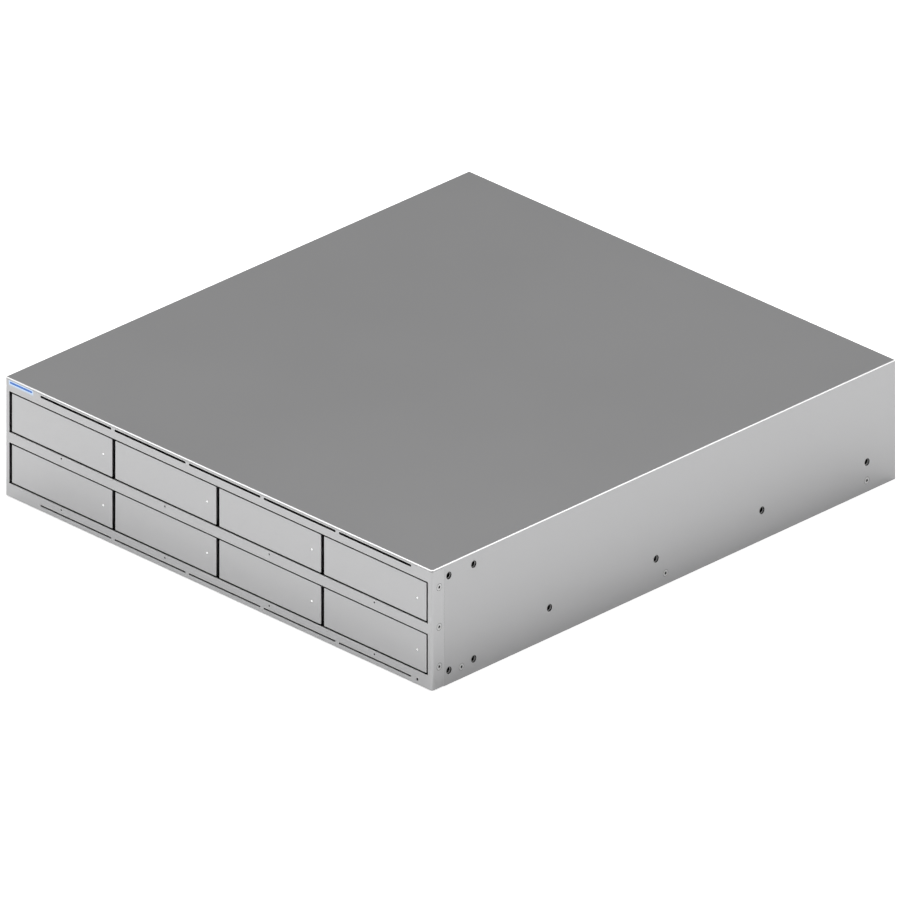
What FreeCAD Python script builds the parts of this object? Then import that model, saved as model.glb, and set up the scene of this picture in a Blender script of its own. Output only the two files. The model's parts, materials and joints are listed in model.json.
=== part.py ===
import FreeCAD, Part
import os
import re

import Sketcher
from FreeCAD import Placement, Rotation, Vector

# A rackmount storage server: eight drive trays in two rows behind one fascia, with the boards, fans and
# power modules behind them. Millimetres. +X is to the right of the front, +Y to the rear, +Z up, and the
# origin is the middle of the underside.

COLUMNS = 4
VENT_SLOTS = 5
RAIL_HOLES = 4
FAN_BLADES = 7
GUARD_RINGS = 3
HEATSINK_FINS = 11

SIZES = {
    # Hard drive of the 3.5 inch form
    "drive_width": 101.6,
    "drive_length": 147.0,
    "drive_height": 26.1,
    "drive_lid_inset": 2.5,
    "drive_lid_rise": 1.0,
    "drive_plug_width": 44.0,
    "drive_plug_height": 7.0,
    "drive_plug_depth": 4.0,
    # Drive tray
    "tray_wall": 1.5,
    "tray_floor": 1.0,
    "tray_headroom": 0.7,
    "drive_fit": 0.35,
    "tray_rail_height": 20.0,
    "tray_tail": 0.5,
    "tray_frame_setback": 5.0,
    "tray_frame_depth": 6.0,
    "tray_frame_border": 4.0,
    "tray_frame_bar": 4.0,
    "tray_floor_border": 22.0,
    "tray_floor_bar": 8.0,
    "drive_setback": 12.5,
    # Tray door, its hinge at the left and its push mark and striker at the right
    "door_recess": 0.5,
    "door_side_gap": 0.3,
    "door_thickness": 2.5,
    "door_corner": 0.45,
    "door_edge": 0.3,
    "door_skin": 0.9,
    "hinge_inset": 2.0,
    "hinge_depth": 2.2,
    "hinge_barrel": 2.0,
    "hinge_pin": 1.0,
    "hinge_pin_length": 4.0,
    "hinge_fit": 0.05,
    "hinge_lug": 1.2,
    "hinge_lug_height": 2.5,
    "hinge_lug_inset": 0.5,
    "door_play": 0.3,
    "mark_inset": 9.65,
    "mark_radius": 0.95,
    "mark_depth": 0.2,
    "striker_width": 3.0,
    "striker_length": 6.0,
    "striker_height": 6.0,
    "striker_play": 0.6,
    # Bays and the strips of the fascia round them
    "tray_gap": 2.85,
    "window_side_gap": 2.0,
    "window_end_gap": 1.2,
    "fascia_side_margin": 4.325,
    "bottom_strip": 10.05,
    "middle_strip": 7.2,
    "top_strip": 9.35,
    "chassis_depth": 480.0,
    # Sheet-metal shell
    "sheet": 1.2,
    "bend_radius": 1.0,
    "corner_radius": 1.7,
    "seam": 0.1,
    "overcut": 1.0,
    "cover_fit": 0.15,
    "base_flange": 16.0,
    "fascia_thickness": 2.0,
    "fascia_flange": 12.1,
    "fascia_flange_thickness": 1.5,
    "fascia_lift": 0.5,
    "window_corner": 0.5,
    # Vent slots, lights and reset pinhole of the fascia
    "slot_left_margin": 37.1,
    "slot_right_margin": 21.5,
    "slot_web": 3.45,
    "top_slot_drop": 3.0,
    "top_slot_radius": 0.85,
    "bottom_slot_rise": 4.2,
    "bottom_slot_radius": 0.7,
    "status_margin": 5.1,
    "status_length": 23.1,
    "status_radius": 0.65,
    "status_drop": 2.85,
    "status_depth": 8.0,
    "light_fit": 0.1,
    "pipe_drop": 2.05,
    "pipe_radius": 0.65,
    "pipe_recess": 0.6,
    "reset_margin": 15.14,
    "reset_rise": 4.08,
    "pinhole_radius": 1.0,
    "button_radius": 1.0,
    "button_fit": 0.05,
    "button_gap": 0.3,
    "button_length": 5.7,
    "button_travel": 0.6,
    "switch_width": 7.0,
    "switch_depth": 6.0,
    "switch_headroom": 2.4,
    "switch_setback": 2.0,
    # Countersunk screws, their seats, and the nuts pressed into the side holes
    "screw_head": 2.7,
    "screw_head_depth": 1.1,
    "screw_shank": 1.3,
    "screw_length": 3.0,
    "floor_screw_length": 1.6,
    "screw_socket": 1.0,
    "screw_socket_depth": 0.7,
    "screw_fit": 0.05,
    "fascia_screw_setback": 7.3,
    "fascia_screw_low": 15.9,
    "fascia_screw_drop": 13.8,
    "cover_screw_rise": 8.35,
    "cover_screw_margin": 30.0,
    "side_hole": 3.2,
    "nut_radius": 4.0,
    "nut_bore": 2.1,
    "nut_length": 3.0,
    "nut_room": 0.5,
    "ear_setback": 17.14,
    "ear_spacing": 25.4,
    "ear_low": 10.0,
    "ear_drop": 8.6,
    "rail_setback": 120.2,
    "rail_end_margin": 29.8,
    "rail_rise": 21.75,
    # Drive cage
    "cage_sheet": 1.0,
    "cage_setback": 1.5,
    "cage_side_play": 0.8,
    "cage_top_margin": 2.0,
    "runner_reach": 3.0,
    "runner_play": 0.3,
    "runner_thickness": 1.2,
    "post_gap": 0.2,
    "post_depth": 8.0,
    # Backplane and its sockets
    "board_thickness": 1.6,
    "socket_length": 9.7,
    "socket_gap": 0.3,
    "socket_width": 42.0,
    "socket_height": 6.0,
    "socket_mouth": 2.0,
    "socket_mouth_depth": 3.0,
    "socket_drop": 8.5,
    "backplane_side_margin": 1.0,
    "backplane_rise": 3.0,
    "air_window_half": 35.0,
    "air_window_bar": 4.0,
    "air_window_low": 1.0,
    "air_window_high": 11.0,
    # Power modules and their bay
    "bay_sheet": 0.8,
    "bay_nut_gap": 0.3,
    "module_width": 73.5,
    "module_length": 185.0,
    "module_play": 0.4,
    "module_run": 0.3,
    "module_headroom": 1.2,
    "module_recess": 0.3,
    "module_wall": 1.0,
    "module_hollow": 36.0,
    "tongue_width": 40.0,
    "tongue_length": 8.0,
    "tongue_thickness": 2.0,
    "tongue_rise": 18.0,
    "receptacle_margin": 3.0,
    "receptacle_gap": 0.6,
    "handle_setback": 8.0,
    "handle_thickness": 3.0,
    "handle_reach": 16.0,
    "handle_margin": 8.6,
    "handle_bar": 3.2,
    "handle_wire": 4.0,
    "inlet_margin": 2.0,
    "inlet_width": 31.0,
    "inlet_height": 24.0,
    "inlet_lip": 1.2,
    "inlet_wall": 1.0,
    "inlet_flange": 2.2,
    "inlet_depth": 18.0,
    "inlet_floor": 2.0,
    "inlet_pin_width": 2.0,
    "inlet_pin_height": 4.0,
    "inlet_pin_spread": 7.0,
    "inlet_pin_step": 4.0,
    "inlet_pin_recess": 3.0,
    "inlet_fit": 0.1,
    "lever_inset": 2.0,
    "lever_thickness": 1.6,
    "lever_setback": 24.0,
    "lever_reach": 13.0,
    "lever_height": 12.0,
    "lever_pad": 1.3,
    "lever_pad_length": 7.0,
    "lever_barrel": 1.7,
    "lever_pin": 0.9,
    "lever_fit": 0.05,
    "lever_swing": 2.6,
    "lever_play": 0.4,
    "module_fan_inset": 48.5,
    # Fans: the two of the case and the small one of each power module
    "fan_clearance": 2.3,
    "fan_depth": 25.0,
    "fan_rim": 2.0,
    "fan_side_gap": 6.0,
    "fan_gap": 4.0,
    "fan_hole_inset": 4.25,
    "fan_hole": 2.15,
    "fan_hub": 17.0,
    "fan_cup_wall": 1.5,
    "fan_tip_gap": 1.4,
    "fan_stator": 15.0,
    "fan_plate": 3.0,
    "fan_strut": 3.0,
    "fan_bearing": 4.0,
    "fan_bearing_length": 11.0,
    "fan_shaft": 2.0,
    "fan_fit": 0.05,
    "fan_axial_play": 0.6,
    "fan_blade": 1.4,
    "fan_chord": 20.0,
    "fan_pitch": 50.0,
    "guard_inner": 14.5,
    "guard_slot": 4.8,
    "guard_wire": 2.0,
    "guard_spoke": 3.0,
    "small_fan_bore": 15.0,
    "small_fan_depth": 14.0,
    "small_fan_hub": 7.0,
    "small_fan_cup_wall": 1.0,
    "small_fan_tip_gap": 0.8,
    "small_fan_plate": 1.5,
    "small_fan_bearing": 2.6,
    "small_fan_bearing_length": 6.0,
    "small_fan_shaft": 1.2,
    "small_fan_blade": 0.9,
    "small_fan_chord": 10.0,
    "small_guard_inner": 6.0,
    "small_guard_slot": 2.0,
    "small_guard_wire": 1.0,
    "small_guard_spoke": 1.6,
    "fan_screw_head": 3.3,
    "fan_screw_rise": 1.8,
    "fan_screw_shank": 2.0,
    "fan_screw_length": 9.0,
    "fan_screw_socket": 1.5,
    # Main board and what it carries
    "standoff_height": 6.8,
    "standoff_radius": 3.0,
    "standoff_bore": 1.45,
    "standoff_inset": 7.0,
    "standoff_rear_inset": 16.0,
    "board_screw_head": 2.75,
    "board_screw_rise": 1.8,
    "board_screw_shank": 1.4,
    "board_screw_hole": 1.6,
    "board_screw_length": 5.0,
    "mainboard_side_gap": 5.0,
    "mainboard_wall_gap": 6.0,
    "mainboard_front_gap": 38.4,
    "mainboard_rear_gap": 2.8,
    "processor_side": 32.0,
    "processor_height": 3.0,
    "processor_setback": 120.0,
    "processor_inset": 86.0,
    "heatsink_side": 64.0,
    "heatsink_base": 4.0,
    "heatsink_height": 28.0,
    "heatsink_fin": 1.4,
    "memory_length": 133.0,
    "memory_thickness": 1.4,
    "memory_height": 31.0,
    "memory_socket_width": 7.0,
    "memory_socket_height": 8.0,
    "memory_inset": 24.0,
    "memory_pitch": 12.0,
    "memory_port_gap": 19.8,
    "port_reach": 0.8,
    "port_fit": 0.3,
    "port_inset": 22.0,
    "port_gap": 8.0,
    "fibre_width": 15.0,
    "fibre_height": 10.0,
    "fibre_length": 48.0,
    "fibre_wall": 0.5,
    "jack_width": 16.0,
    "jack_height": 13.6,
    "jack_length": 22.0,
    "jack_wall": 2.0,
    "jack_depth": 14.0,
    "jack_key_width": 6.0,
    "jack_key_height": 2.4,
    # Rear panel
    "panel_flange": 9.0,
    "panel_flange_gap": 4.0,
    "panel_screw_inset": 20.0,
    "vent_margin": 10.0,
    "vent_rise": 34.0,
    "vent_height": 20.0,
    "vent_width": 3.2,
    "vent_pitch": 6.4,
    "vent_row_gap": 4.0,
    # Cables and front boards
    "ribbon_width": 20.0,
    "ribbon_thickness": 1.2,
    "plug_width": 24.0,
    "plug_depth": 8.0,
    "plug_height": 7.0,
    "data_cable_gap": 6.0,
    "data_cable_pitch": 40.0,
    "power_cable_inset": 36.0,
    "power_cable_rise": 24.0,
    "supply_cable_setback": 14.0,
    "supply_screw_gap": 1.0,
    "light_board_depth": 22.0,
    "light_board_width": 62.0,
    "light_board_setback": 0.5,
    "lamp_gap": 0.3,
    "lamp_depth": 5.0,
    "lamp_inset": 2.0,
    "reset_board_width": 15.0,
    "reset_board_height": 6.8,
}

PLACES = {
    "tray_width": "drive_width + 2 * (tray_wall + drive_fit)",
    "tray_height": "drive_height + tray_floor + tray_headroom",
    "bay_pitch": "tray_width + tray_gap",
    "bays_half": f"{(COLUMNS - 1) / 2} * bay_pitch + tray_width / 2",
    "window_width": "2 * (bays_half + window_side_gap)",
    "window_height": "tray_height + 2 * window_end_gap",
    "chassis_width": "window_width + 2 * fascia_side_margin",
    "chassis_height": "bottom_strip + 2 * window_height + middle_strip + top_strip",
    "half_width": "chassis_width / 2",
    "inside_half": "half_width - sheet",
    "inside_top": "chassis_height - sheet",
    "front": "-chassis_depth / 2",
    "rear": "chassis_depth / 2",
    "panel_front": "rear - sheet",
    "fascia_top": "inside_top - seam",
    "fascia_back": "front + fascia_thickness",
    "row_pitch": "window_height + middle_strip",
    "lower_row": "bottom_strip + window_height / 2",
    "upper_row": "lower_row + row_pitch",
    "tray_half": "tray_width / 2",
    "tray_rise": "tray_height / 2",
    "door_front": "front + door_recess",
    "drive_rear": "door_front + drive_setback + drive_length",
    "hinge_x": "hinge_inset - tray_half",
    "lug_high": "tray_rise - hinge_lug_inset",
    "lug_low": "lug_high - hinge_lug_height",
    "mark_x": "tray_half - mark_inset",
    "frame_back": "tray_frame_setback + tray_frame_depth",
    "cage_front": "fascia_back + cage_setback",
    "cage_inner": "bays_half + cage_side_play",
    "cage_outer": "cage_inner + cage_sheet",
    "cage_floor": "sheet + cage_sheet",
    "cage_top": "upper_row + window_height / 2 + cage_top_margin + cage_sheet",
    "backplane_front": "drive_rear + socket_gap + socket_length",
    "backplane_rear": "backplane_front + board_thickness",
    "base_half": "inside_half - cover_fit",
    "base_front": "fascia_back + seam",
    "flange_front": "front + fascia_flange + seam",
    "reset_x": "half_width - reset_margin",
    "slot_length": "(chassis_width - slot_left_margin - slot_right_margin"
                   f" - {VENT_SLOTS - 1} * slot_web) / {VENT_SLOTS}",
    "rail_pitch": f"(chassis_depth - rail_setback - rail_end_margin) / {RAIL_HOLES - 1}",
    "ear_high": "chassis_height - ear_drop",
    "bay_left": "nut_length + bay_nut_gap - inside_half",
    "module_left": "bay_left + bay_sheet + module_play",
    "module_right": "module_left + module_width",
    "bay_right": "module_right + module_play + bay_sheet",
    "bay_floor": "sheet + bay_sheet",
    "slot_rise": "(inside_top - bay_floor - bay_sheet) / 2",
    "module_height": "slot_rise - module_run - module_headroom",
    "module_rear": "rear - module_recess",
    "module_front": "module_rear - module_length",
    "receptacle_front": "module_front - tongue_length - receptacle_gap - receptacle_margin",
    "power_board_front": "receptacle_front - board_thickness",
    "fan_size": "chassis_height - 2 * sheet - 2 * fan_clearance",
    "fan_bore": "fan_size / 2 - fan_rim",
    "fan_z": "chassis_height / 2",
    "fan_1_x": "bay_right + fan_side_gap + fan_size / 2",
    "fan_2_x": "fan_1_x + fan_size + fan_gap",
    "mainboard_left": "fan_2_x + fan_size / 2 + mainboard_side_gap",
    "mainboard_right": "inside_half - mainboard_wall_gap",
    "mainboard_front": "backplane_rear + mainboard_front_gap",
    "mainboard_rear": "panel_front - mainboard_rear_gap",
    "mainboard_low": "sheet + standoff_height",
    "mainboard_top": "mainboard_low + board_thickness",
    "processor_x": "mainboard_right - processor_inset",
    "processor_y": "mainboard_rear - processor_setback",
    "processor_top": "mainboard_top + processor_height",
    "port_rear": "rear + port_reach",
    "fibre_2_x": "mainboard_right - port_inset",
    "fibre_1_x": "fibre_2_x - fibre_width - port_gap",
    "jack_x": "fibre_1_x - fibre_width / 2 - port_gap - jack_width / 2",
}

doc = FreeCAD.newDocument("rack_storage_server")
sheet = doc.addObject("Spreadsheet::Sheet", "sizes")
for row, (name, size) in enumerate(SIZES.items(), 1):
    sheet.set(f"A{row}", name)
    sheet.set(f"B{row}", str(size))
    sheet.setAlias(f"B{row}", name)
doc.recompute()

nodes = []


def expression(text):
    """Spell a size text out for the document: a place by its own text, a size by its cell."""

    def spell(match):
        word = match.group(0)
        if word in PLACES:
            return f"({expression(PLACES[word])})"
        if word in SIZES:
            return f"sizes.{word}"
        return word

    return re.sub(r"[a-z][a-z_0-9]*", spell, text)


def value(text):
    """The number that a size text comes to."""
    return float(sheet.evalExpression(expression(text)))


def bind(item, path, text):
    item.setExpression(path, expression(text))


def place(item, x, y, z):
    for axis, text in zip("xyz", (x, y, z)):
        bind(item, f"Placement.Base.{axis}", text)


def node(item, label):
    """Name a finished sub-part."""
    item.Label = label
    nodes.append(item)
    return item


def block(name, x, y, z):
    """A plain block between a low and a high limit on each axis."""
    item = doc.addObject("Part::Box", name)
    for side, (low, high) in zip(("Length", "Width", "Height"), (x, y, z)):
        bind(item, side, f"({high}) - ({low})")
    place(item, x[0], y[0], z[0])
    return item


TURNS = {
    "+x": Rotation(Vector(0, 1, 0), 90),
    "-x": Rotation(Vector(0, 1, 0), -90),
    "+y": Rotation(Vector(1, 0, 0), -90),
    "-y": Rotation(Vector(1, 0, 0), 90),
    "+z": Rotation(),
    "-z": Rotation(Vector(1, 0, 0), 180),
}


def lying(item, way, start):
    """Lay a round or six-sided bar along a way, from the middle of its first end."""
    item.Placement = Placement(Vector(), TURNS[way])
    place(item, *start)
    return item


def rod(name, way, radius, length, start):
    item = doc.addObject("Part::Cylinder", name)
    bind(item, "Radius", radius)
    bind(item, "Height", length)
    return lying(item, way, start)


def cone(name, way, radius, end_radius, length, start):
    item = doc.addObject("Part::Cone", name)
    bind(item, "Radius1", radius)
    bind(item, "Radius2", end_radius)
    bind(item, "Height", length)
    return lying(item, way, start)


def hexagon(name, way, radius, length, start):
    item = doc.addObject("Part::Prism", name)
    item.Polygon = 6
    bind(item, "Circumradius", radius)
    bind(item, "Height", length)
    return lying(item, way, start)


def join(name, *items):
    item = doc.addObject("Part::MultiFuse", name)
    item.Shapes = items
    item.Refine = True
    return item


def group(name, *items):
    item = doc.addObject("Part::Compound", name)
    item.Links = items
    return item


def cut(name, base, *tools):
    item = doc.addObject("Part::Cut", name)
    item.Base = base
    item.Tool = tools[0] if len(tools) == 1 else join(f"{name}_tools", *tools)
    item.Refine = True
    return item


def copy_of(name, item, x, y, z):
    """The same piece at another place."""
    link = doc.addObject("App::Link", name)
    link.LinkedObject = item
    place(link, x, y, z)
    return link


def turned(name, item, axis, angle):
    """A piece turned about an axis through the origin."""
    whole = group(name, item)
    whole.Placement = Placement(Vector(), Rotation(axis, angle))
    return whole


def on_side(side, near, far):
    """The two limits of a piece on the right side, or of its mirror on the left."""
    return (near, far) if side > 0 else (f"-({far})", f"-({near})")


def about(middle, width):
    """The two limits of a width about a middle."""
    return f"({middle}) - ({width}) / 2", f"({middle}) + ({width}) / 2"


def above(low, height):
    """The two limits of a height that starts at a level."""
    return low, f"({low}) + {height}"


def rounded_slot(name, x, y, z, radius):
    """A slot through the front, flat between two round ends."""
    low, high = f"({x[0]}) + {radius}", f"({x[1]}) - {radius}"
    thickness = f"({y[1]}) - ({y[0]})"
    middle = block(f"{name}_middle", (low, high), y, (f"({z}) - {radius}", f"({z}) + {radius}"))
    ends = [rod(f"{name}_end", "+y", radius, thickness, (x_end, y[0], z)) for x_end in (low, high)]
    return join(name, middle, *ends)


def new_body(name):
    return doc.addObject("PartDesign::Body", name)


def sketch_on(body, name, role):
    """A sketch on one of its body's own origin planes."""
    plane = next(feature for feature in body.Origin.OriginFeatures if feature.Role == role)
    sketch = body.newObject("Sketcher::SketchObject", name)
    sketch.AttachmentSupport = [(plane, "")]
    sketch.MapMode = "FlatFace"
    return sketch


def rectangle(sketch, across, up):
    """A closed rectangle, each side held at its distance from the sketch's origin."""
    first = sketch.GeometryCount
    left, right = (value(text) for text in across)
    low, high = (value(text) for text in up)
    corners = [Vector(left, low), Vector(right, low), Vector(right, high), Vector(left, high)]
    for start, end in zip(corners, corners[1:] + corners[:1]):
        sketch.addGeometry(Part.LineSegment(start, end), False)
    for side in range(4):
        sketch.addConstraint(Sketcher.Constraint("Coincident", first + side, 2, first + (side + 1) % 4, 1))
        direction = "Horizontal" if side % 2 == 0 else "Vertical"
        sketch.addConstraint(Sketcher.Constraint(direction, first + side))
    limits = (("DistanceX", 0, across[0], left), ("DistanceY", 0, up[0], low),
              ("DistanceX", 2, across[1], right), ("DistanceY", 2, up[1], high))
    for kind, corner, text, size in limits:
        number = sketch.addConstraint(Sketcher.Constraint(kind, -1, 1, first + corner, 1, size))
        bind(sketch, f"Constraints[{number}]", text)


def pad(body, name, sketch, length):
    feature = body.newObject("PartDesign::Pad", name)
    feature.Profile = sketch
    bind(feature, "Length", length)
    doc.recompute()
    return feature


def pocket_through(body, name, sketch):
    """Cut a sketch through the whole body, both ways from its plane, and see that it cut."""
    before = body.Shape.Volume
    feature = body.newObject("PartDesign::Pocket", name)
    feature.Profile = sketch
    feature.Type = "ThroughAll"
    feature.Midplane = True
    doc.recompute()
    if body.Shape.Volume >= before:
        raise RuntimeError(f"{name} cuts nothing")
    return feature


def fillet(body, name, base, radius, chosen):
    """Round the edges of a body that a rule picks."""
    edges = [f"Edge{number}" for number, edge in enumerate(base.Shape.Edges, 1) if chosen(edge)]
    feature = body.newObject("PartDesign::Fillet", name)
    feature.Base = (base, edges)
    bind(feature, "Radius", radius)
    doc.recompute()
    return feature


def runs_along(edge, axis):
    start, end = (vertex.Point for vertex in (edge.Vertexes[0], edge.Vertexes[-1]))
    step = end - start
    return edge.Curve.TypeId == "Part::GeomLine" and abs(abs(getattr(step, axis)) - step.Length) < 1e-6


def lies_at(edge, axis, text):
    """Whether all of an edge lies at one distance along an axis."""
    level = value(text)
    box = edge.BoundBox
    low, high = (getattr(box, axis.upper() + end) for end in ("Min", "Max"))
    return abs(low - level) < 1e-4 and abs(high - level) < 1e-4


def countersunk(name, way, start, length, fit):
    """A countersunk screw's head and shank from the middle of its flat top, or its seat with a fit."""
    sign = -1 if way[0] == "-" else 1
    axis = "xyz".index(way[1])
    neck = list(start)
    neck[axis] = f"({start[axis]}) + {sign} * screw_head_depth"
    head = cone(f"{name}_head", way, f"screw_head + {fit}", f"screw_shank + {fit}", "screw_head_depth", start)
    shank = rod(f"{name}_shank", way, f"screw_shank + {fit}", length, neck)
    return join(name, head, shank)


def screw(name, way, start, length):
    socket = hexagon(f"{name}_socket", way, "screw_socket", "screw_socket_depth", start)
    return cut(name, countersunk(f"{name}_bar", way, start, length, "0"), socket)


def screw_seat(name, way, start, length):
    return countersunk(name, way, start, f"{length} + overcut", "screw_fit")


# Where the sides are screwed, drilled and nutted
WAY_IN = {-1: "+x", 1: "-x"}
fascia_screw_levels = ("fascia_screw_low", "(fascia_screw_low + chassis_height - fascia_screw_drop) / 2",
                       "chassis_height - fascia_screw_drop")
fascia_screw_places = [(side, "front + fascia_screw_setback", level)
                       for side in WAY_IN for level in fascia_screw_levels]
cover_screw_places = [(side, depth, "cover_screw_rise") for side in WAY_IN
                      for depth in ("front + cover_screw_margin", "0", "rear - cover_screw_margin")]
ear_places = [(f"front + ear_setback + {column} * ear_spacing", level)
              for column in (0, 1) for level in ("ear_low", "ear_high")]
rail_places = [(f"front + rail_setback + {hole} * rail_pitch", "rail_rise") for hole in range(RAIL_HOLES)]
panel_screw_places = [("bay_right + panel_flange_gap + panel_screw_inset", "panel_front - panel_flange / 2"),
                      ("base_half - panel_screw_inset", "panel_front - panel_flange / 2")]


def side_seats(name, places):
    return [screw_seat(name, WAY_IN[side], (f"{side} * half_width", y, z), "screw_length")
            for side, y, z in places]


def through_sides(name, radius, places):
    """Round holes through both sides at once."""
    return [rod(name, "+x", radius, "chassis_width + 2 * overcut", ("-half_width - overcut", y, z))
            for y, z in places]


# Top cover: one sheet folded into a top and two sides, its front edge rolled down to meet the fascia
cover_body = new_body("cover_body")
cover_plan = sketch_on(cover_body, "cover_plan", "XY_Plane")
rectangle(cover_plan, ("-half_width", "half_width"), ("front", "rear"))
cover_block = pad(cover_body, "cover_block", cover_plan, "chassis_height")
cover_corners = fillet(cover_body, "cover_corners", cover_block, "corner_radius",
                       lambda edge: runs_along(edge, "z") and lies_at(edge, "y", "front"))
cover_bends = fillet(cover_body, "cover_bends", cover_corners, "bend_radius",
                     lambda edge: lies_at(edge, "z", "chassis_height") and not lies_at(edge, "y", "rear"))
cover_inside = sketch_on(cover_body, "cover_inside", "XZ_Plane")
rectangle(cover_inside, ("-inside_half", "inside_half"), ("-overcut", "inside_top"))
pocket_through(cover_body, "cover_hollow", cover_inside)
cover_front = sketch_on(cover_body, "cover_front", "YZ_Plane")
rectangle(cover_front, ("front - overcut", "flange_front"), ("-overcut", "inside_top"))
pocket_through(cover_body, "cover_fascia_room", cover_front)
cover_holes = group("cover_holes", *through_sides("cover_hole", "side_hole", ear_places + rail_places))
cover_seats = group("cover_seats", *side_seats("cover_seat", cover_screw_places))
node(cut("cover_drilled", cut("cover_seated", cover_body, cover_seats), cover_holes), "top_cover")

# Base tray: the floor plate with an upturned flange inside each side of the cover
post_face = "half_width - fascia_flange_thickness - post_gap"
base_plate = block("base_plate", ("-base_half", "base_half"), ("flange_front", "rear"), ("0", "sheet"))
base_lip = block("base_lip", about("0", f"2 * ({post_face})"), ("base_front", "flange_front"), ("0", "sheet"))
base_flanges = [block("base_flange", on_side(side, "base_half - sheet", "base_half"),
                      ("flange_front", "panel_front - seam"), ("0", "base_flange")) for side in WAY_IN]
base_screw_holes = through_sides("base_screw_hole", "screw_shank + screw_fit",
                                 [(y, z) for side, y, z in cover_screw_places if side > 0])
base_nut_holes = through_sides("base_nut_hole", "nut_radius + nut_room",
                               [(y, z) for y, z in ear_places if z == "ear_low"])
base_seats = [screw_seat("base_seat", "+z", (x, y, "0"), "floor_screw_length") for x, y in panel_screw_places]
base_folded = join("base_folded", base_plate, base_lip, *base_flanges)
base_tools = group("base_tools", *base_screw_holes, *base_nut_holes, *base_seats)
node(cut("base_drilled", base_folded, base_tools), "base_tray")

# Front fascia: a thick plate that turns back round both sides, with two tray windows and two rows of slots
fascia_body = new_body("fascia_body")
fascia_plan = sketch_on(fascia_body, "fascia_plan", "XY_Plane")
bind(fascia_plan, "AttachmentOffset.Base.z", "fascia_lift")
rectangle(fascia_plan, ("-half_width", "half_width"), ("front", "front + fascia_flange"))
fascia_block = pad(fascia_body, "fascia_block", fascia_plan, "fascia_top - fascia_lift")
fascia_corners = fillet(fascia_body, "fascia_corners", fascia_block, "corner_radius",
                        lambda edge: runs_along(edge, "z") and lies_at(edge, "y", "front"))
fascia_inside = sketch_on(fascia_body, "fascia_inside", "XY_Plane")
rectangle(fascia_inside, ("fascia_flange_thickness - half_width", "half_width - fascia_flange_thickness"),
          ("fascia_back", "front + fascia_flange + overcut"))
pocket_through(fascia_body, "fascia_hollow", fascia_inside)
fascia_windows = sketch_on(fascia_body, "fascia_windows", "XZ_Plane")
for level in ("lower_row", "upper_row"):
    rectangle(fascia_windows, ("-window_width / 2", "window_width / 2"),
              (f"{level} - window_height / 2", f"{level} + window_height / 2"))
fascia_opened = pocket_through(fascia_body, "fascia_opened", fascia_windows)
fascia_window_corners = fillet(
    fascia_body, "fascia_window_corners", fascia_opened, "window_corner",
    lambda edge: runs_along(edge, "y")
    and (lies_at(edge, "x", "window_width / 2") or lies_at(edge, "x", "-window_width / 2")))

through_fascia = ("front - overcut", "fascia_back + overcut")
fascia_depth = "fascia_thickness + 2 * overcut"
slot_rows = (("chassis_height - top_slot_drop", "top_slot_radius"),
             ("bottom_slot_rise", "bottom_slot_radius"))
slots = []
for level, radius in slot_rows:
    for slot in range(VENT_SLOTS):
        left = f"slot_left_margin - half_width + {slot} * (slot_length + slot_web)"
        slots.append(rounded_slot("slot", above(left, "slot_length"), through_fascia, level, radius))
status_span = above("status_margin - half_width", "status_length")
status_level = "chassis_height - status_drop"
status_room = rounded_slot("status_room", (f"{status_span[0]} - light_fit", f"{status_span[1]} + light_fit"),
                           through_fascia, status_level, "(status_radius + light_fit)")
column_places = [f"{column - (COLUMNS - 1) / 2} * bay_pitch" for column in range(COLUMNS)]
row_places = ["upper_row", "lower_row"]
pipe_places = [(x, f"{row} - window_height / 2 - pipe_drop") for row in row_places for x in column_places]
pipe_holes = [rod("pipe_hole", "+y", "pipe_radius + light_fit", fascia_depth, (x, through_fascia[0], z))
              for x, z in pipe_places]
reset_hole = rod("reset_hole", "+y", "pinhole_radius", fascia_depth,
                 ("reset_x", through_fascia[0], "reset_rise"))
fascia_seats = side_seats("fascia_seat", fascia_screw_places)
fascia_tools = group("fascia_tools", *slots, status_room, *pipe_holes, reset_hole, *fascia_seats)
node(cut("fascia_cut", fascia_body, fascia_tools), "front_fascia")

# Drive cage: shelves, walls, dividers and runners of thin sheet, spot-welded face to face, with a screw post
# at each front edge
cage_depth = ("cage_front", "backplane_front")
cage_inside = ("-cage_inner", "cage_inner")
shelf_level = "(lower_row + upper_row - cage_sheet) / 2"
shelf_levels = ("sheet", shelf_level, "cage_top - cage_sheet")
cage_pieces = [block("cage_shelf", cage_inside, cage_depth, above(low, "cage_sheet")) for low in shelf_levels]
cage_levels = ("sheet", "cage_top")
cage_pieces += [block("cage_wall", on_side(side, "cage_inner", "cage_outer"), cage_depth, cage_levels)
                for side in WAY_IN]
divider_places = [f"{line - COLUMNS / 2} * bay_pitch" for line in range(1, COLUMNS)]
divider_levels = (("cage_floor", shelf_level), (f"{shelf_level} + cage_sheet", shelf_levels[2]))
cage_pieces += [block("cage_divider", about(x, "cage_sheet"), cage_depth, levels)
                for x in divider_places for levels in divider_levels]
runner_depth = ("cage_front", "drive_rear")
runner_spans = [on_side(side, "bays_half - runner_reach", "cage_inner") for side in WAY_IN]
for x in divider_places:
    reach = "(tray_gap / 2 + runner_reach)"
    runner_spans += [(f"{x} - {reach}", f"{x} - cage_sheet / 2"), (f"{x} + cage_sheet / 2", f"{x} + {reach}")]
for row in row_places:
    runner_top = f"{row} - tray_rise - runner_play"
    cage_pieces += [block("cage_runner", span, runner_depth, (f"{runner_top} - runner_thickness", runner_top))
                    for span in runner_spans]
cage_seats = group("cage_seats", *side_seats("cage_seat", fascia_screw_places))
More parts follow.
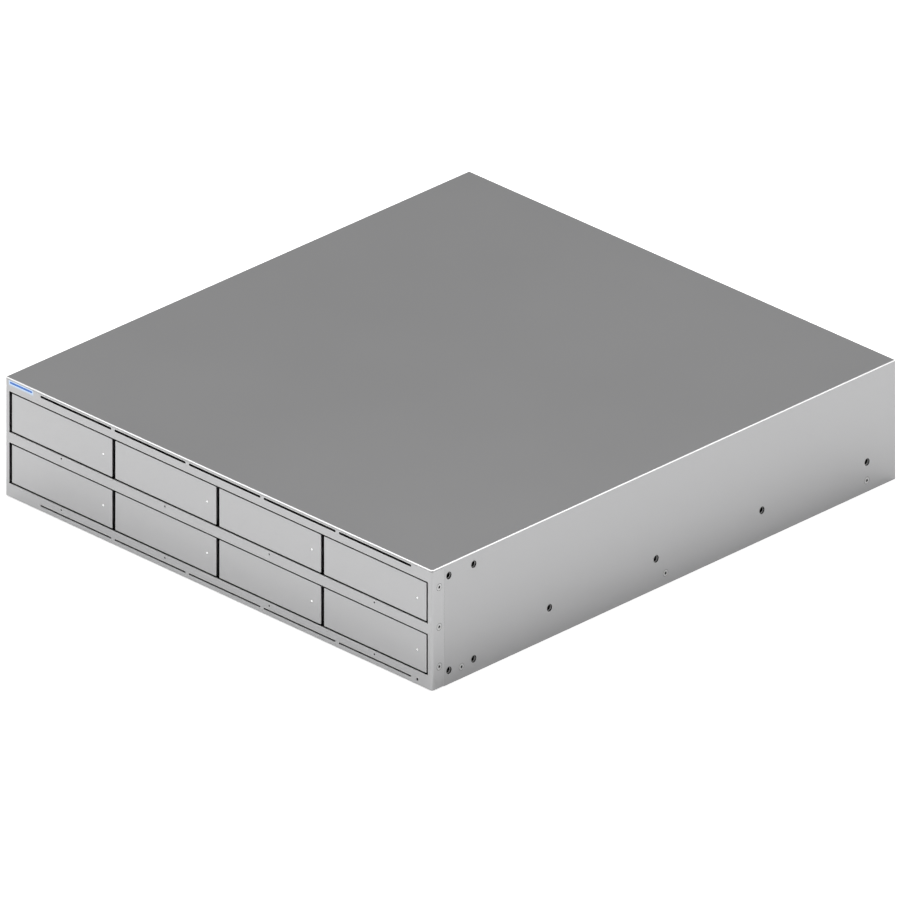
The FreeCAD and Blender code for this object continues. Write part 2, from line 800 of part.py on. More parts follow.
for side in WAY_IN:
    post = block("cage_post", on_side(side, "cage_outer", post_face), above("cage_front", "post_depth"),
                 cage_levels)
    cage_pieces.append(cut("cage_post_drilled", post, cage_seats))
node(group("cage_welded", *cage_pieces), "drive_cage")

# Drive tray: floor, two side rails and a front frame with the hinge lugs and pins of its door
tray_frame = block("tray_frame", ("-tray_half", "tray_half"), ("tray_frame_setback", "frame_back"),
                   ("-tray_rise", "tray_rise"))
tray_through = ("tray_frame_setback - overcut", "frame_back + overcut")
frame_levels = ("tray_frame_border - tray_rise", "tray_rise - tray_frame_border")
tray_left_air = block("tray_left_air", ("2 * tray_frame_border - tray_half", "-tray_frame_bar / 2"),
                      tray_through, frame_levels)
keeper_width = "(striker_width + 2 * striker_play)"
tray_right_air = block("tray_right_air",
                       ("tray_frame_bar / 2", f"mark_x - {keeper_width} / 2 - tray_frame_bar"),
                       tray_through, frame_levels)
tray_keeper = block("tray_keeper", about("mark_x", keeper_width), tray_through,
                    about("0", "striker_height + 2 * striker_play"))
tray_depth = ("frame_back", "drive_setback + drive_length + tray_tail")
tray_rails = [block("tray_rail", on_side(side, "tray_half - tray_wall", "tray_half"), tray_depth,
                    above("-tray_rise", "tray_rail_height")) for side in WAY_IN]
tray_floor = block("tray_floor", ("tray_wall - tray_half", "tray_half - tray_wall"), tray_depth,
                   above("-tray_rise", "tray_floor"))
floor_middle = f"({tray_depth[0]} + {tray_depth[1]}) / 2"
floor_air_spans = [on_side(side, "tray_floor_bar / 2", "tray_half - tray_floor_border") for side in WAY_IN]
floor_air_depths = [(f"{tray_depth[0]} + tray_floor_border", f"{floor_middle} - tray_floor_bar / 2"),
                    (f"{floor_middle} + tray_floor_bar / 2", f"{tray_depth[1]} - tray_floor_border")]
through_floor = ("-tray_rise - overcut", "tray_floor - tray_rise + overcut")
tray_floor_air = [block("tray_floor_air", span, depth, through_floor)
                  for span in floor_air_spans for depth in floor_air_depths]
tray_hinge = []
for low, pin_low in (("lug_low", "lug_low - hinge_pin_length"), ("-lug_high", "-lug_low")):
    tray_hinge.append(block("tray_lug", about("hinge_x", "2 * hinge_lug"),
                            ("hinge_depth", "tray_frame_setback"), above(low, "hinge_lug_height")))
    tray_hinge.append(rod("tray_lug_end", "+z", "hinge_lug", "hinge_lug_height",
                          ("hinge_x", "hinge_depth", low)))
    tray_hinge.append(rod("tray_pin", "+z", "hinge_pin", "hinge_pin_length",
                          ("hinge_x", "hinge_depth", pin_low)))
tray_solid = join("tray_solid", tray_frame, *tray_rails, tray_floor, *tray_hinge)
tray = cut("tray", tray_solid, tray_left_air, tray_right_air, tray_keeper, *tray_floor_air)

# Tray door: a flat plate with a hinge barrel at its left end, a striker and a push mark at its right
door_body = new_body("door_body")
door_face = sketch_on(door_body, "door_face", "XZ_Plane")
rectangle(door_face, ("door_side_gap - tray_half", "tray_half - door_side_gap"), ("-tray_rise", "tray_rise"))
door_block = pad(door_body, "door_block", door_face, "door_thickness")
door_block.Reversed = True
doc.recompute()
door_corners = fillet(door_body, "door_corners", door_block, "door_corner",
                      lambda edge: runs_along(edge, "y"))
fillet(door_body, "door_edges", door_corners, "door_edge", lambda edge: lies_at(edge, "y", "0"))
lug_rooms = [block("lug_room", ("-tray_half - overcut", "hinge_x + hinge_barrel + door_play"),
                   ("door_skin", "door_thickness + overcut"), levels)
             for levels in (("lug_low - door_play", "tray_rise + overcut"),
                            ("-tray_rise - overcut", "door_play - lug_low"))]
mark_dimple = rod("mark_dimple", "+y", "mark_radius", "mark_depth", ("mark_x", "0", "0"))
door_plate = cut("door_plate", door_body, group("door_rooms", *lug_rooms, mark_dimple))
door_barrel = rod("door_barrel", "+z", "hinge_barrel", "2 * (lug_low - door_play)",
                  ("hinge_x", "hinge_depth", "door_play - lug_low"))
door_bore = rod("door_bore", "+z", "hinge_pin + hinge_fit", "tray_height",
                ("hinge_x", "hinge_depth", "-tray_rise"))
door_striker = block("door_striker", about("mark_x", "striker_width"),
                     above("door_thickness", "striker_length"), about("0", "striker_height"))
door = cut("door", join("door_solid", door_plate, door_barrel, door_striker), door_bore)

# Hard drive: a cast case with a raised lid and the plug recess at its rear
drive_depth = above("drive_setback", "drive_length")
drive_low = "(tray_floor - tray_rise)"
drive_deck = f"{drive_low} + drive_height - drive_lid_rise"
drive_case = block("drive_case", about("0", "drive_width"), drive_depth, (drive_low, drive_deck))
drive_lid = block("drive_lid", about("0", "drive_width - 2 * drive_lid_inset"),
                  (f"{drive_depth[0]} + drive_lid_inset", f"{drive_depth[1]} - drive_lid_inset"),
                  above(drive_deck, "drive_lid_rise"))
drive_plug = block("drive_plug", about("0", "drive_plug_width"),
                   (f"{drive_depth[1]} - drive_plug_depth", f"{drive_depth[1]} + overcut"),
                   (f"{drive_low} - overcut", f"{drive_low} + drive_plug_height"))
drive = cut("drive", join("drive_solid", drive_case, drive_lid), drive_plug)

# The eight bays, numbered from the left along the upper row and then the lower
bay_places = [(x, row) for row in row_places for x in column_places]
for number, (x, row) in enumerate(bay_places, 1):
    for label, piece in (("tray", tray), ("tray_door", door), ("drive", drive)):
        node(copy_of(f"{label}_{number}", piece, x, "door_front", row), f"{label}_{number}")

# Drive backplane: a board across the rear of the cage with an air window and a socket for each drive
backplane_half = "(bays_half - backplane_side_margin)"
backplane_plate = block("backplane_plate", (f"-{backplane_half}", backplane_half),
                        ("backplane_front", "backplane_rear"), ("cage_floor + backplane_rise", "cage_top"))
air_spans = (("-air_window_half", "-air_window_bar / 2"), ("air_window_bar / 2", "air_window_half"))
air_windows = [block("air_window", (f"{x} + ({left})", f"{x} + ({right})"),
                     ("backplane_front - overcut", "backplane_rear + overcut"),
                     (f"{row} + air_window_low", f"{row} + air_window_high"))
               for x, row in bay_places for left, right in air_spans]
node(cut("backplane", backplane_plate, group("air_windows", *air_windows)), "drive_backplane")
sockets = []
for x, row in bay_places:
    shell = block("socket_shell", about(x, "socket_width"), ("drive_rear + socket_gap", "backplane_front"),
                  about(f"{row} - socket_drop", "socket_height"))
    mouth = block("socket_mouth", about(x, "socket_width - 2 * socket_mouth"),
                  ("drive_rear + socket_gap - overcut", "drive_rear + socket_gap + socket_mouth_depth"),
                  about(f"{row} - socket_drop", "socket_mouth"))
    sockets.append(cut("socket", shell, mouth))
node(group("sockets", *sockets), "backplane_sockets")

# Status light bar, the drives' light pipes and the boards behind them
node(rounded_slot("status_bar", status_span, above("front", "status_depth"), status_level, "status_radius"),
     "status_light")
pipe_length = "backplane_front - front - pipe_recess"
pipes = [rod("pipe", "+y", "pipe_radius", pipe_length, (x, "front + pipe_recess", z)) for x, z in pipe_places]
node(group("pipes", *pipes), "drive_light_pipes")
light_board = block("light_board", above("-cage_inner", "light_board_width"),
                    above("cage_front + light_board_setback", "light_board_depth"),
                    above("cage_top", "board_thickness"))
lamp = block("lamp", (f"{status_span[0]} + lamp_inset", f"{status_span[1]} - lamp_inset"),
             above("front + status_depth + lamp_gap", "lamp_depth"),
             ("cage_top + board_thickness", f"{status_level} + status_radius"))
switch_front = "fascia_back + switch_setback"
switch = block("switch", about("reset_x", "switch_width"), above(switch_front, "switch_depth"),
               ("cage_floor", "reset_rise + switch_headroom"))
switch_bore = rod("switch_bore", "+y", "button_radius + button_fit",
                  "button_gap - switch_setback + button_length + 2 * button_travel",
                  ("reset_x", switch_front, "reset_rise"))
reset_board = block("reset_board", about("reset_x", "reset_board_width"),
                    above(f"{switch_front} + switch_depth", "board_thickness"),
                    above("cage_floor", "reset_board_height"))
light_board_fitted = join("light_board_fitted", light_board, lamp)
reset_board_fitted = cut("reset_board_fitted", join("reset_board_solid", switch, reset_board), switch_bore)
node(group("front_board_pair", light_board_fitted, reset_board_fitted), "front_boards")
node(rod("button", "+y", "button_radius", "button_length",
         ("reset_x", "fascia_back + button_gap", "reset_rise")), "reset_button")

# Power module bay: a sleeve of thin sheet with a shelf between the two modules, behind the power board
bay_depth = ("receptacle_front", "panel_front - seam")
bay_walls = [block("bay_wall", span, bay_depth, ("sheet", "inside_top - seam"))
             for span in (("bay_left", "bay_left + bay_sheet"), ("bay_right - bay_sheet", "bay_right"))]
bay_shelves = [block("bay_shelf", ("bay_left", "bay_right"), bay_depth, above(low, "bay_sheet"))
               for low in ("sheet", "bay_floor + slot_rise")]
node(join("bay_sleeve", *bay_walls, *bay_shelves), "power_bay")
module_levels = [f"bay_floor + module_run + {number} * (slot_rise + bay_sheet)" for number in (1, 0)]
module_places = [("module_left", "module_rear", level) for level in module_levels]
power_parts = [block("power_plate", ("bay_left", "bay_right"), ("power_board_front", "receptacle_front"),
                     ("bay_floor", "inside_top - seam"))]
power_slots = []
for level in module_levels:
    tongue_middle = f"{level} + tongue_rise + tongue_thickness / 2"
    power_parts.append(block(
        "receptacle", about("module_left + module_width / 2", "tongue_width + 2 * receptacle_margin"),
        ("receptacle_front", "module_front - receptacle_gap"),
        about(tongue_middle, "tongue_thickness + 2 * receptacle_margin")))
    power_slots.append(block(
        "receptacle_slot", about("module_left + module_width / 2", "tongue_width + 2 * receptacle_gap"),
        ("receptacle_front + receptacle_margin", "module_front"),
        about(tongue_middle, "tongue_thickness + 2 * receptacle_gap")))
node(cut("power_board_slotted", join("power_board_solid", *power_parts), group("power_slots", *power_slots)),
     "power_board")


def ring_slots(name, inner, slot, wire, spoke, thickness):
    """Arc slots of a fan guard round the Y axis, from one plane back to another."""
    rings = []
    for ring in range(GUARD_RINGS):
        radius = f"({inner} + {ring} * ({slot} + {wire}))"
        start = ("0", "-overcut", "0")
        length = f"{thickness} + 2 * overcut"
        disc = rod(f"{name}_disc", "+y", f"{radius} + {slot}", length, start)
        rings.append(cut(f"{name}_ring", disc, rod(f"{name}_core", "+y", radius, length, start)))
    reach = f"({inner} + {GUARD_RINGS} * ({slot} + {wire}))"
    depth = ("-2 * overcut", f"{thickness} + 2 * overcut")
    bars = [block(f"{name}_bar", (f"-{reach}", reach), depth, about("0", spoke)),
            block(f"{name}_bar", about("0", spoke), depth, (f"-{reach}", reach))]
    spokes = turned(f"{name}_spokes", join(f"{name}_cross", *bars), Vector(0, 1, 0), 45)
    return cut(name, group(f"{name}_rings", *rings), spokes)


def fan_rotor(name, hub, cup_wall, tip, front_end, rear_end, shaft, shaft_end, blade, chord):
    """A rotor on the Y axis: a cup with a shaft in it and tilted blades round it."""
    depth = f"({rear_end}) - ({front_end})"
    cup = rod(f"{name}_cup", "+y", hub, depth, ("0", front_end, "0"))
    room = rod(f"{name}_room", "+y", f"{hub} - {cup_wall}", f"{depth} - {cup_wall} + overcut",
               ("0", f"({front_end}) + {cup_wall}", "0"))
    spindle = rod(f"{name}_spindle", "+y", shaft, f"({shaft_end}) - ({front_end})", ("0", front_end, "0"))
    flat = block(f"{name}_flat", (f"{hub} - {cup_wall} / 2", tip), about("0", chord), about("0", blade))
    tilted = turned(f"{name}_tilted", flat, Vector(1, 0, 0), value("fan_pitch"))
    bind(tilted, "Placement.Base.y", f"(({front_end}) + ({rear_end})) / 2")
    blades = [turned(f"{name}_blade", tilted, Vector(0, 1, 0), 360 * number / FAN_BLADES)
              for number in range(FAN_BLADES)]
    hollow = cut(f"{name}_hollow", cup, room)
    return join(name, hollow, spindle, *blades)


# Power module: a sheet case, hollow behind its rear face, with a loop handle, a lever pin and a fan post
module = block("module_case", ("0", "module_width"), ("-module_length", "0"), ("0", "module_height"))
module_room = block("module_room", ("module_wall", "module_width - module_wall"),
                    ("-module_hollow", "-module_wall"), ("module_wall", "module_height - module_wall"))
inlet_x = above("inlet_margin", "inlet_width")
inlet_z = about("module_height / 2", "inlet_height")
inlet_body_x = (f"{inlet_x[0]} + inlet_flange", f"{inlet_x[1]} - inlet_flange")
inlet_body_z = (f"{inlet_z[0]} + inlet_flange", f"{inlet_z[1]} - inlet_flange")
inlet_room = block("inlet_room", (f"{inlet_body_x[0]} - inlet_fit", f"{inlet_body_x[1]} + inlet_fit"),
                   ("-module_wall - overcut", "overcut"),
                   (f"{inlet_body_z[0]} - inlet_fit", f"{inlet_body_z[1]} + inlet_fit"))
lever_x = ("module_width - lever_inset - lever_thickness", "module_width - lever_inset")
lever_z = about("module_height / 2", "lever_height")
lever_axis = ("module_width - lever_inset - lever_thickness / 2", "-lever_setback")
lever_room = block("lever_room", (f"{lever_x[0]} - lever_swing - lever_play", f"{lever_x[1]} + lever_play"),
                   ("-module_wall - overcut", "overcut"),
                   (f"{lever_z[0]} - lever_play", f"{lever_z[1]} + lever_play"))
lever_pin = rod("lever_post", "+z", "lever_pin", "module_height - 2 * module_wall",
                (*lever_axis, "module_wall"))
handle_x = (f"{lever_x[0]} - handle_setback + handle_thickness - lever_thickness",
            f"{lever_x[0]} - handle_setback + 2 * handle_thickness - lever_thickness")
handle = block("handle", handle_x, ("0", "handle_reach"), ("handle_margin", "module_height - handle_margin"))
handle_loop = block("handle_loop", (f"{handle_x[0]} - overcut", f"{handle_x[1]} + overcut"),
                    ("handle_wire", "handle_reach - handle_bar"),
                    ("handle_margin + handle_bar", "module_height - handle_margin - handle_bar"))
small_fan_x = "module_fan_inset"
small_guard = ring_slots("small_guard", "small_guard_inner", "small_guard_slot", "small_guard_wire",
                         "small_guard_spoke", "module_wall")
small_guard_placed = group("small_guard_placed", small_guard)
place(small_guard_placed, small_fan_x, "-module_wall", "module_height / 2")
bearing = rod("small_bearing", "-y", "small_fan_bearing", "small_fan_bearing_length",
              (small_fan_x, "-module_wall", "module_height / 2"))
bearing_bore = rod("small_bearing_bore", "-y", "small_fan_shaft + fan_fit",
                   "small_fan_bearing_length + overcut", (small_fan_x, "-module_wall", "module_height / 2"))
tongue = block("tongue", about("module_width / 2", "tongue_width"),
               ("-module_length - tongue_length", "-module_length"), above("tongue_rise", "tongue_thickness"))
module_shell = cut("module_shell", module, module_room, inlet_room, lever_room, small_guard_placed)
handle_opened = cut("handle_opened", handle, handle_loop)
module_solid = join("module_solid", module_shell, handle_opened, lever_pin, bearing, tongue)
module_body = cut("module_body", module_solid, bearing_bore)

# Mains inlet of a power module: a flange, a socket and three flat pins
inlet_flange = block("inlet_face", inlet_x, ("0", "inlet_lip"), inlet_z)
inlet_box = block("inlet_box", inlet_body_x, ("-inlet_depth", "0"), inlet_body_z)
inlet_hole = block("inlet_hole", (f"{inlet_body_x[0]} + inlet_wall", f"{inlet_body_x[1]} - inlet_wall"),
                   ("inlet_floor - inlet_depth", "inlet_lip + overcut"),
                   (f"{inlet_body_z[0]} + inlet_wall", f"{inlet_body_z[1]} - inlet_wall"))
inlet_middle = "(inlet_margin + inlet_width / 2)"
pins = []
for step, rise in ((-1, "-inlet_pin_step / 2"), (0, "inlet_pin_step / 2"), (1, "-inlet_pin_step / 2")):
    pins.append(block("inlet_pin", about(f"{inlet_middle} + {step} * inlet_pin_spread", "inlet_pin_width"),
                      ("-inlet_depth", "-inlet_pin_recess"),
                      about(f"module_height / 2 + {rise}", "inlet_pin_height")))
inlet = join("inlet", cut("inlet_shell", join("inlet_solid", inlet_flange, inlet_box), inlet_hole), *pins)

# Release lever of a power module: a bar on a pin inside the case, with a thumb pad outside
lever_bar = block("lever_bar", lever_x, ("-lever_setback", "lever_reach"), lever_z)
lever_pad = block("lever_thumb", above(lever_x[1], "lever_pad"),
                  ("lever_reach - lever_pad_length", "lever_reach"), lever_z)
lever_barrel = rod("lever_barrel", "+z", "lever_barrel", "lever_height", (*lever_axis, lever_z[0]))
lever_bore = rod("lever_bore", "+z", "lever_pin + lever_fit", "lever_height", (*lever_axis, lever_z[0]))
lever = cut("lever", join("lever_solid", lever_bar, lever_pad, lever_barrel), lever_bore)

small_rotor = fan_rotor("small_rotor", "small_fan_hub", "small_fan_cup_wall",
                        "small_fan_bore - small_fan_tip_gap", "-module_wall - small_fan_depth",
                        "-module_wall - small_fan_plate", "small_fan_shaft", "-module_wall - fan_axial_play",
                        "small_fan_blade", "small_fan_chord")
for number, (x, y, z) in enumerate(module_places, 1):
    node(copy_of("module_copy", module_body, x, y, z), f"power_module_{number}")
    node(copy_of("inlet_copy", inlet, x, y, z), f"power_inlet_{number}")
    node(copy_of("lever_copy", lever, x, y, z), f"release_lever_{number}")
    node(copy_of("small_rotor_copy", small_rotor, f"{x} + {small_fan_x}", y, f"{z} + module_height / 2"),
         f"power_fan_rotor_{number}")

# Case fan: a square frame with a bearing tube on four struts, and its rotor
fan_block = block("fan_block", about("0", "fan_size"), ("-fan_depth", "0"), about("0", "fan_size"))
fan_tunnel = rod("fan_tunnel", "-y", "fan_bore", "fan_depth + 2 * overcut", ("0", "overcut", "0"))
fan_corner = "(fan_size / 2 - fan_hole_inset)"
fan_corners = [(f"{across} * {fan_corner}", f"{up} * {fan_corner}") for across in (-1, 1) for up in (-1, 1)]
fan_holes = [rod("fan_corner_hole", "-y", "fan_hole", "fan_depth + 2 * overcut", (x, "overcut", z))
             for x, z in fan_corners]
fan_shell = cut("fan_shell", fan_block, group("fan_tools", fan_tunnel, *fan_holes))
strut_reach = about("0", "2 * fan_bore + fan_rim")
strut_width = about("0", "fan_strut")
fan_struts = [block("fan_strut_bar", strut_reach, ("-fan_plate", "0"), strut_width),
              block("fan_strut_post", strut_width, ("-fan_plate", "0"), strut_reach)]
fan_stator = rod("fan_stator_plate", "-y", "fan_stator", "fan_plate", ("0", "0", "0"))
fan_tube = rod("fan_tube", "-y", "fan_bearing", "fan_plate + fan_bearing_length", ("0", "0", "0"))
fan_bearing = rod("fan_bearing_bore", "-y", "fan_shaft + fan_fit",
                  "fan_plate + fan_bearing_length + 2 * overcut", ("0", "overcut", "0"))
fan_frame_solid = join("fan_frame_solid", fan_shell, *fan_struts, fan_stator, fan_tube)
fan_frame = cut("fan_frame", fan_frame_solid, fan_bearing)
rotor = fan_rotor("rotor", "fan_hub", "fan_cup_wall", "fan_bore - fan_tip_gap", "overcut - fan_depth",
                  "-fan_plate - fan_axial_play", "fan_shaft", "-fan_plate / 2", "fan_blade", "fan_chord")
fan_places = [("fan_1_x", "panel_front", "fan_z"), ("fan_2_x", "panel_front", "fan_z")]
fan_frames = [copy_of("fan_frame_copy", fan_frame, *spot) for spot in fan_places]
node(group("fan_frame_pair", *fan_frames), "fan_frames")
for number, spot in enumerate(fan_places, 1):
    node(copy_of("rotor_copy", rotor, *spot), f"fan_rotor_{number}")
fan_screw_spots = [(f"{x} + {across}", f"{z} + {up}") for x, y, z in fan_places for across, up in fan_corners]
fan_screws = []
for x, z in fan_screw_spots:
    head = rod("fan_screw_head", "+y", "fan_screw_head", "fan_screw_rise", (x, "rear", z))
    shank = rod("fan_screw_shank", "-y", "fan_screw_shank", "fan_screw_length", (x, "rear", z))
    socket = hexagon("fan_screw_socket", "-y", "fan_screw_socket", "fan_screw_rise / 2",
                     (x, "rear + fan_screw_rise", z))
    fan_screws.append(cut("fan_screw", join("fan_screw_solid", head, shank), socket))
node(group("fan_screw_set", *fan_screws), "fan_screws")

# Main board on its standoffs, with the processor, its heatsink and the memory modules
standoff_places = [(x, y) for x in ("mainboard_left + standoff_inset", "mainboard_right - standoff_inset")
                   for y in ("mainboard_front + standoff_inset", "(mainboard_front + mainboard_rear) / 2",
                             "mainboard_rear - standoff_rear_inset")]
board_plate = block("board_plate", ("mainboard_left", "mainboard_right"),
                    ("mainboard_front", "mainboard_rear"), ("mainboard_low", "mainboard_top"))
board_holes = [rod("board_hole", "+z", "board_screw_hole", "board_thickness + 2 * overcut",
                   (x, y, "mainboard_low - overcut")) for x, y in standoff_places]
node(cut("board_drilled", board_plate, group("board_holes", *board_holes)), "main_board")
standoffs = []
board_screws = []
for x, y in standoff_places:
    post = hexagon("standoff_post", "+z", "standoff_radius", "standoff_height", (x, y, "sheet"))
    bore = rod("standoff_bore", "+z", "standoff_bore", "standoff_height", (x, y, "sheet"))
    standoffs.append(cut("standoff", post, bore))
    head = rod("board_screw_head", "+z", "board_screw_head", "board_screw_rise", (x, y, "mainboard_top"))
    shank = rod("board_screw_shank", "-z", "board_screw_shank", "board_screw_length", (x, y, "mainboard_top"))
    board_screws.append(join("board_screw", head, shank))
node(group("standoff_set", *standoffs), "board_standoffs")
node(group("board_screw_set", *board_screws), "board_screws")
node(block("chip", about("processor_x", "processor_side"), about("processor_y", "processor_side"),
           ("mainboard_top", "processor_top")), "processor")
heatsink_x = about("processor_x", "heatsink_side")
heatsink_y = about("processor_y", "heatsink_side")
heatsink_plate = block("heatsink_plate", heatsink_x, heatsink_y, above("processor_top", "heatsink_base"))
fin_pitch = f"(heatsink_side - heatsink_fin) / {HEATSINK_FINS - 1}"
fin_z = ("processor_top + heatsink_base", "processor_top + heatsink_height")
fins = [block("heatsink_blade", above(f"{heatsink_x[0]} + {number} * {fin_pitch}", "heatsink_fin"),
              heatsink_y, fin_z) for number in range(HEATSINK_FINS)]
node(join("heatsink", heatsink_plate, *fins), "processor_heatsink")
memory_rear = "port_rear - fibre_length - memory_port_gap"
memory_depth = (f"{memory_rear} - memory_length", memory_rear)
modules = []
for number in (0, 1):
    x = f"mainboard_right - memory_inset - {number} * memory_pitch"
    holder = block("memory_socket", about(x, "memory_socket_width"), memory_depth,
                   above("mainboard_top", "memory_socket_height"))
    card = block("memory_card", about(x, "memory_thickness"), memory_depth,
                 ("mainboard_top + memory_socket_height", "mainboard_top + memory_height"))
    modules.append(join("memory_module", holder, card))
node(group("memory_pair", *modules), "memory_modules")

# Network jack and the two cages for fibre modules, at the rear edge of the main board
jack_z = above("mainboard_top", "jack_height")
jack_reach = ("port_rear - jack_depth", "port_rear + overcut")
jack_step = f"{jack_z[1]} - jack_wall - jack_key_height"
jack_shell = block("jack_shell", about("jack_x", "jack_width"),
                   ("port_rear - jack_length", "port_rear"), jack_z)
jack_mouth = block("jack_mouth", about("jack_x", "jack_width - 2 * jack_wall"), jack_reach,
                   (f"{jack_z[0]} + jack_wall", jack_step))
jack_key = block("jack_key", about("jack_x", "jack_key_width"), jack_reach,
                 above(jack_step, "jack_key_height"))
node(cut("jack", jack_shell, jack_mouth, jack_key), "network_jack")
cages = []
for x in ("fibre_1_x", "fibre_2_x"):
    shell = block("fibre_shell", about(x, "fibre_width"), ("port_rear - fibre_length", "port_rear"),
                  above("mainboard_top", "fibre_height"))
    mouth = block("fibre_mouth", about(x, "fibre_width - 2 * fibre_wall"),
                  ("port_rear - fibre_length + fibre_wall", "port_rear + overcut"),
                  ("mainboard_top + fibre_wall", "mainboard_top + fibre_height - fibre_wall"))
    cages.append(cut("fibre_cage", shell, mouth))
node(group("fibre_pair", *cages), "fibre_cages")

# Rear panel: a plate with a bottom flange, two module openings, two fan guards, port holes and vent slots
panel_plate = block("panel_plate", ("-base_half", "base_half"), ("panel_front", "rear"),
                    ("sheet", "inside_top - seam"))
panel_flange = block("panel_flange", ("bay_right + panel_flange_gap", "base_half - sheet - seam"),
                     ("panel_front - panel_flange", "panel_front"), ("sheet", "2 * sheet"))
through_panel = ("panel_front - overcut", "rear + overcut")
panel_openings = [block("module_opening", ("module_left - module_play", "module_right + module_play"),
                        through_panel, (f"{level} - module_run", f"{level} + module_height + module_run"))
                  for level in module_levels]
guard = ring_slots("guard", "guard_inner", "guard_slot", "guard_wire", "guard_spoke", "sheet")
guards = [copy_of("guard_copy", guard, *spot) for spot in fan_places]
fan_screw_holes = [rod("fan_screw_hole", "-y", "fan_hole", "sheet + 2 * overcut", (x, "rear + overcut", z))
                   for x, z in fan_screw_spots]
port_holes = [block("port_hole", about(x, f"{width} + 2 * port_fit"), through_panel,
                    ("mainboard_top - port_fit", f"mainboard_top + {height} + port_fit"))
              for x, width, height in (("fibre_1_x", "fibre_width", "fibre_height"),
                                       ("fibre_2_x", "fibre_width", "fibre_height"),
                                       ("jack_x", "jack_width", "jack_height"))]
vent_count = int(value("(mainboard_right - mainboard_left - 2 * vent_margin) / vent_pitch"))
vents = []
for column in range(vent_count):
    for row in (0, 1):
        left = f"mainboard_left + vent_margin + {column} * vent_pitch"
        low = f"vent_rise + {row} * (vent_height + vent_row_gap)"
        vents.append(block("vent", above(left, "vent_width"), through_panel, above(low, "vent_height")))
flange_seats = [screw_seat("flange_seat", "+z", (x, y, "0"), "floor_screw_length")
                for x, y in panel_screw_places]
panel_tools = group("panel_tools", *panel_openings, *guards, *fan_screw_holes, *port_holes, *vents,
                    *flange_seats)
node(cut("panel_cut", join("panel_folded", panel_plate, panel_flange), panel_tools), "rear_panel")

# Cables: two data ribbons to the main board, one power ribbon to the backplane and one to the main board
cables = []
plug_z = above("mainboard_top", "plug_height")
ribbon_z = above("mainboard_top + plug_height / 2", "ribbon_thickness")
supply_x = above("mainboard_left + standoff_inset + board_screw_head + supply_screw_gap", "plug_depth")
for number in (0, 1):
    x = f"{supply_x[1]} + data_cable_gap + plug_width / 2 + {number} * data_cable_pitch"
    rear_plug = block("data_plug", about(x, "plug_width"), above("backplane_rear", "plug_depth"), plug_z)
    board_plug = block("data_plug", about(x, "plug_width"), above("mainboard_front", "plug_depth"), plug_z)
    ribbon = block("data_ribbon", about(x, "ribbon_width"),
                   ("backplane_rear + plug_depth", "mainboard_front"), ribbon_z)
    cables.append(join("data_cable", rear_plug, board_plug, ribbon))
power_x = "bay_left + power_cable_inset"
power_plug_z = above("power_cable_rise", "plug_height")
power_plug_depths = (above("backplane_rear", "plug_depth"),
                     ("power_board_front - plug_depth", "power_board_front"))
power_plugs = [block("power_plug", about(power_x, "plug_width"), depth, power_plug_z)
               for depth in power_plug_depths]
power_ribbon = block("power_ribbon", about(power_x, "ribbon_width"),
                     ("backplane_rear + plug_depth", "power_board_front - plug_depth"),
                     above("power_cable_rise + plug_height / 2", "ribbon_thickness"))
cables.append(join("power_cable", *power_plugs, power_ribbon))
supply_y = "power_board_front - plug_depth - supply_cable_setback"
supply_plug = block("supply_plug", ("bay_right - plug_width", "bay_right"),
                    ("power_board_front - plug_depth", "power_board_front"), plug_z)
supply_drop = block("supply_drop", ("bay_right - ribbon_width", "bay_right"),
                    (f"{supply_y} - ribbon_width / 2", "power_board_front - plug_depth"), ribbon_z)
supply_ribbon = block("supply_ribbon", ("bay_right", supply_x[0]), about(supply_y, "ribbon_width"), ribbon_z)
supply_socket = block("supply_socket", supply_x, about(supply_y, "plug_width"), plug_z)
cables.append(join("supply_cable", supply_plug, supply_drop, supply_ribbon, supply_socket))
node(group("cable_set", *cables), "inner_cables")

# Countersunk screws of the fascia, the cover and the rear panel, and the nuts pressed into the side holes
panel_screws = [screw("side_screw", WAY_IN[side], (f"{side} * half_width", y, z), "screw_length")
                for side, y, z in fascia_screw_places + cover_screw_places]
panel_screws += [screw("floor_screw", "+z", (x, y, "0"), "floor_screw_length") for x, y in panel_screw_places]
node(group("panel_screw_set", *panel_screws), "panel_screws")
nuts = []
for side in WAY_IN:
    for y, z in ear_places + rail_places:
        ring = rod("nut_ring", WAY_IN[side], "nut_radius", "nut_length", (f"{side} * inside_half", y, z))
        mouth = (f"{side} * half_width", y, z)
        shank = rod("nut_shank", WAY_IN[side], "side_hole", "sheet", mouth)
        thread = rod("nut_thread", WAY_IN[side], "nut_bore", "sheet + nut_length", mouth)
        nuts.append(cut("nut", join("nut_solid", ring, shank), thread))
node(group("nut_set", *nuts), "side_nuts")

doc.recompute()
for item in doc.Objects:
    if "Invalid" in item.State or "Error" in item.State:
        raise RuntimeError(f"{item.Label} failed: {item.State}")
for item in nodes:
    if item.Shape.isNull() or not item.Shape.isValid():
        raise RuntimeError(f"{item.Label} has no valid shape")

os.makedirs("parts", exist_ok=True)
for item in nodes:
    item.Shape.exportStep(f"parts/{item.Label}.step")
print(len(nodes), "sub-parts written")
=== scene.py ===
import json
import math

import bmesh
import bpy
from mathutils import Matrix, Vector

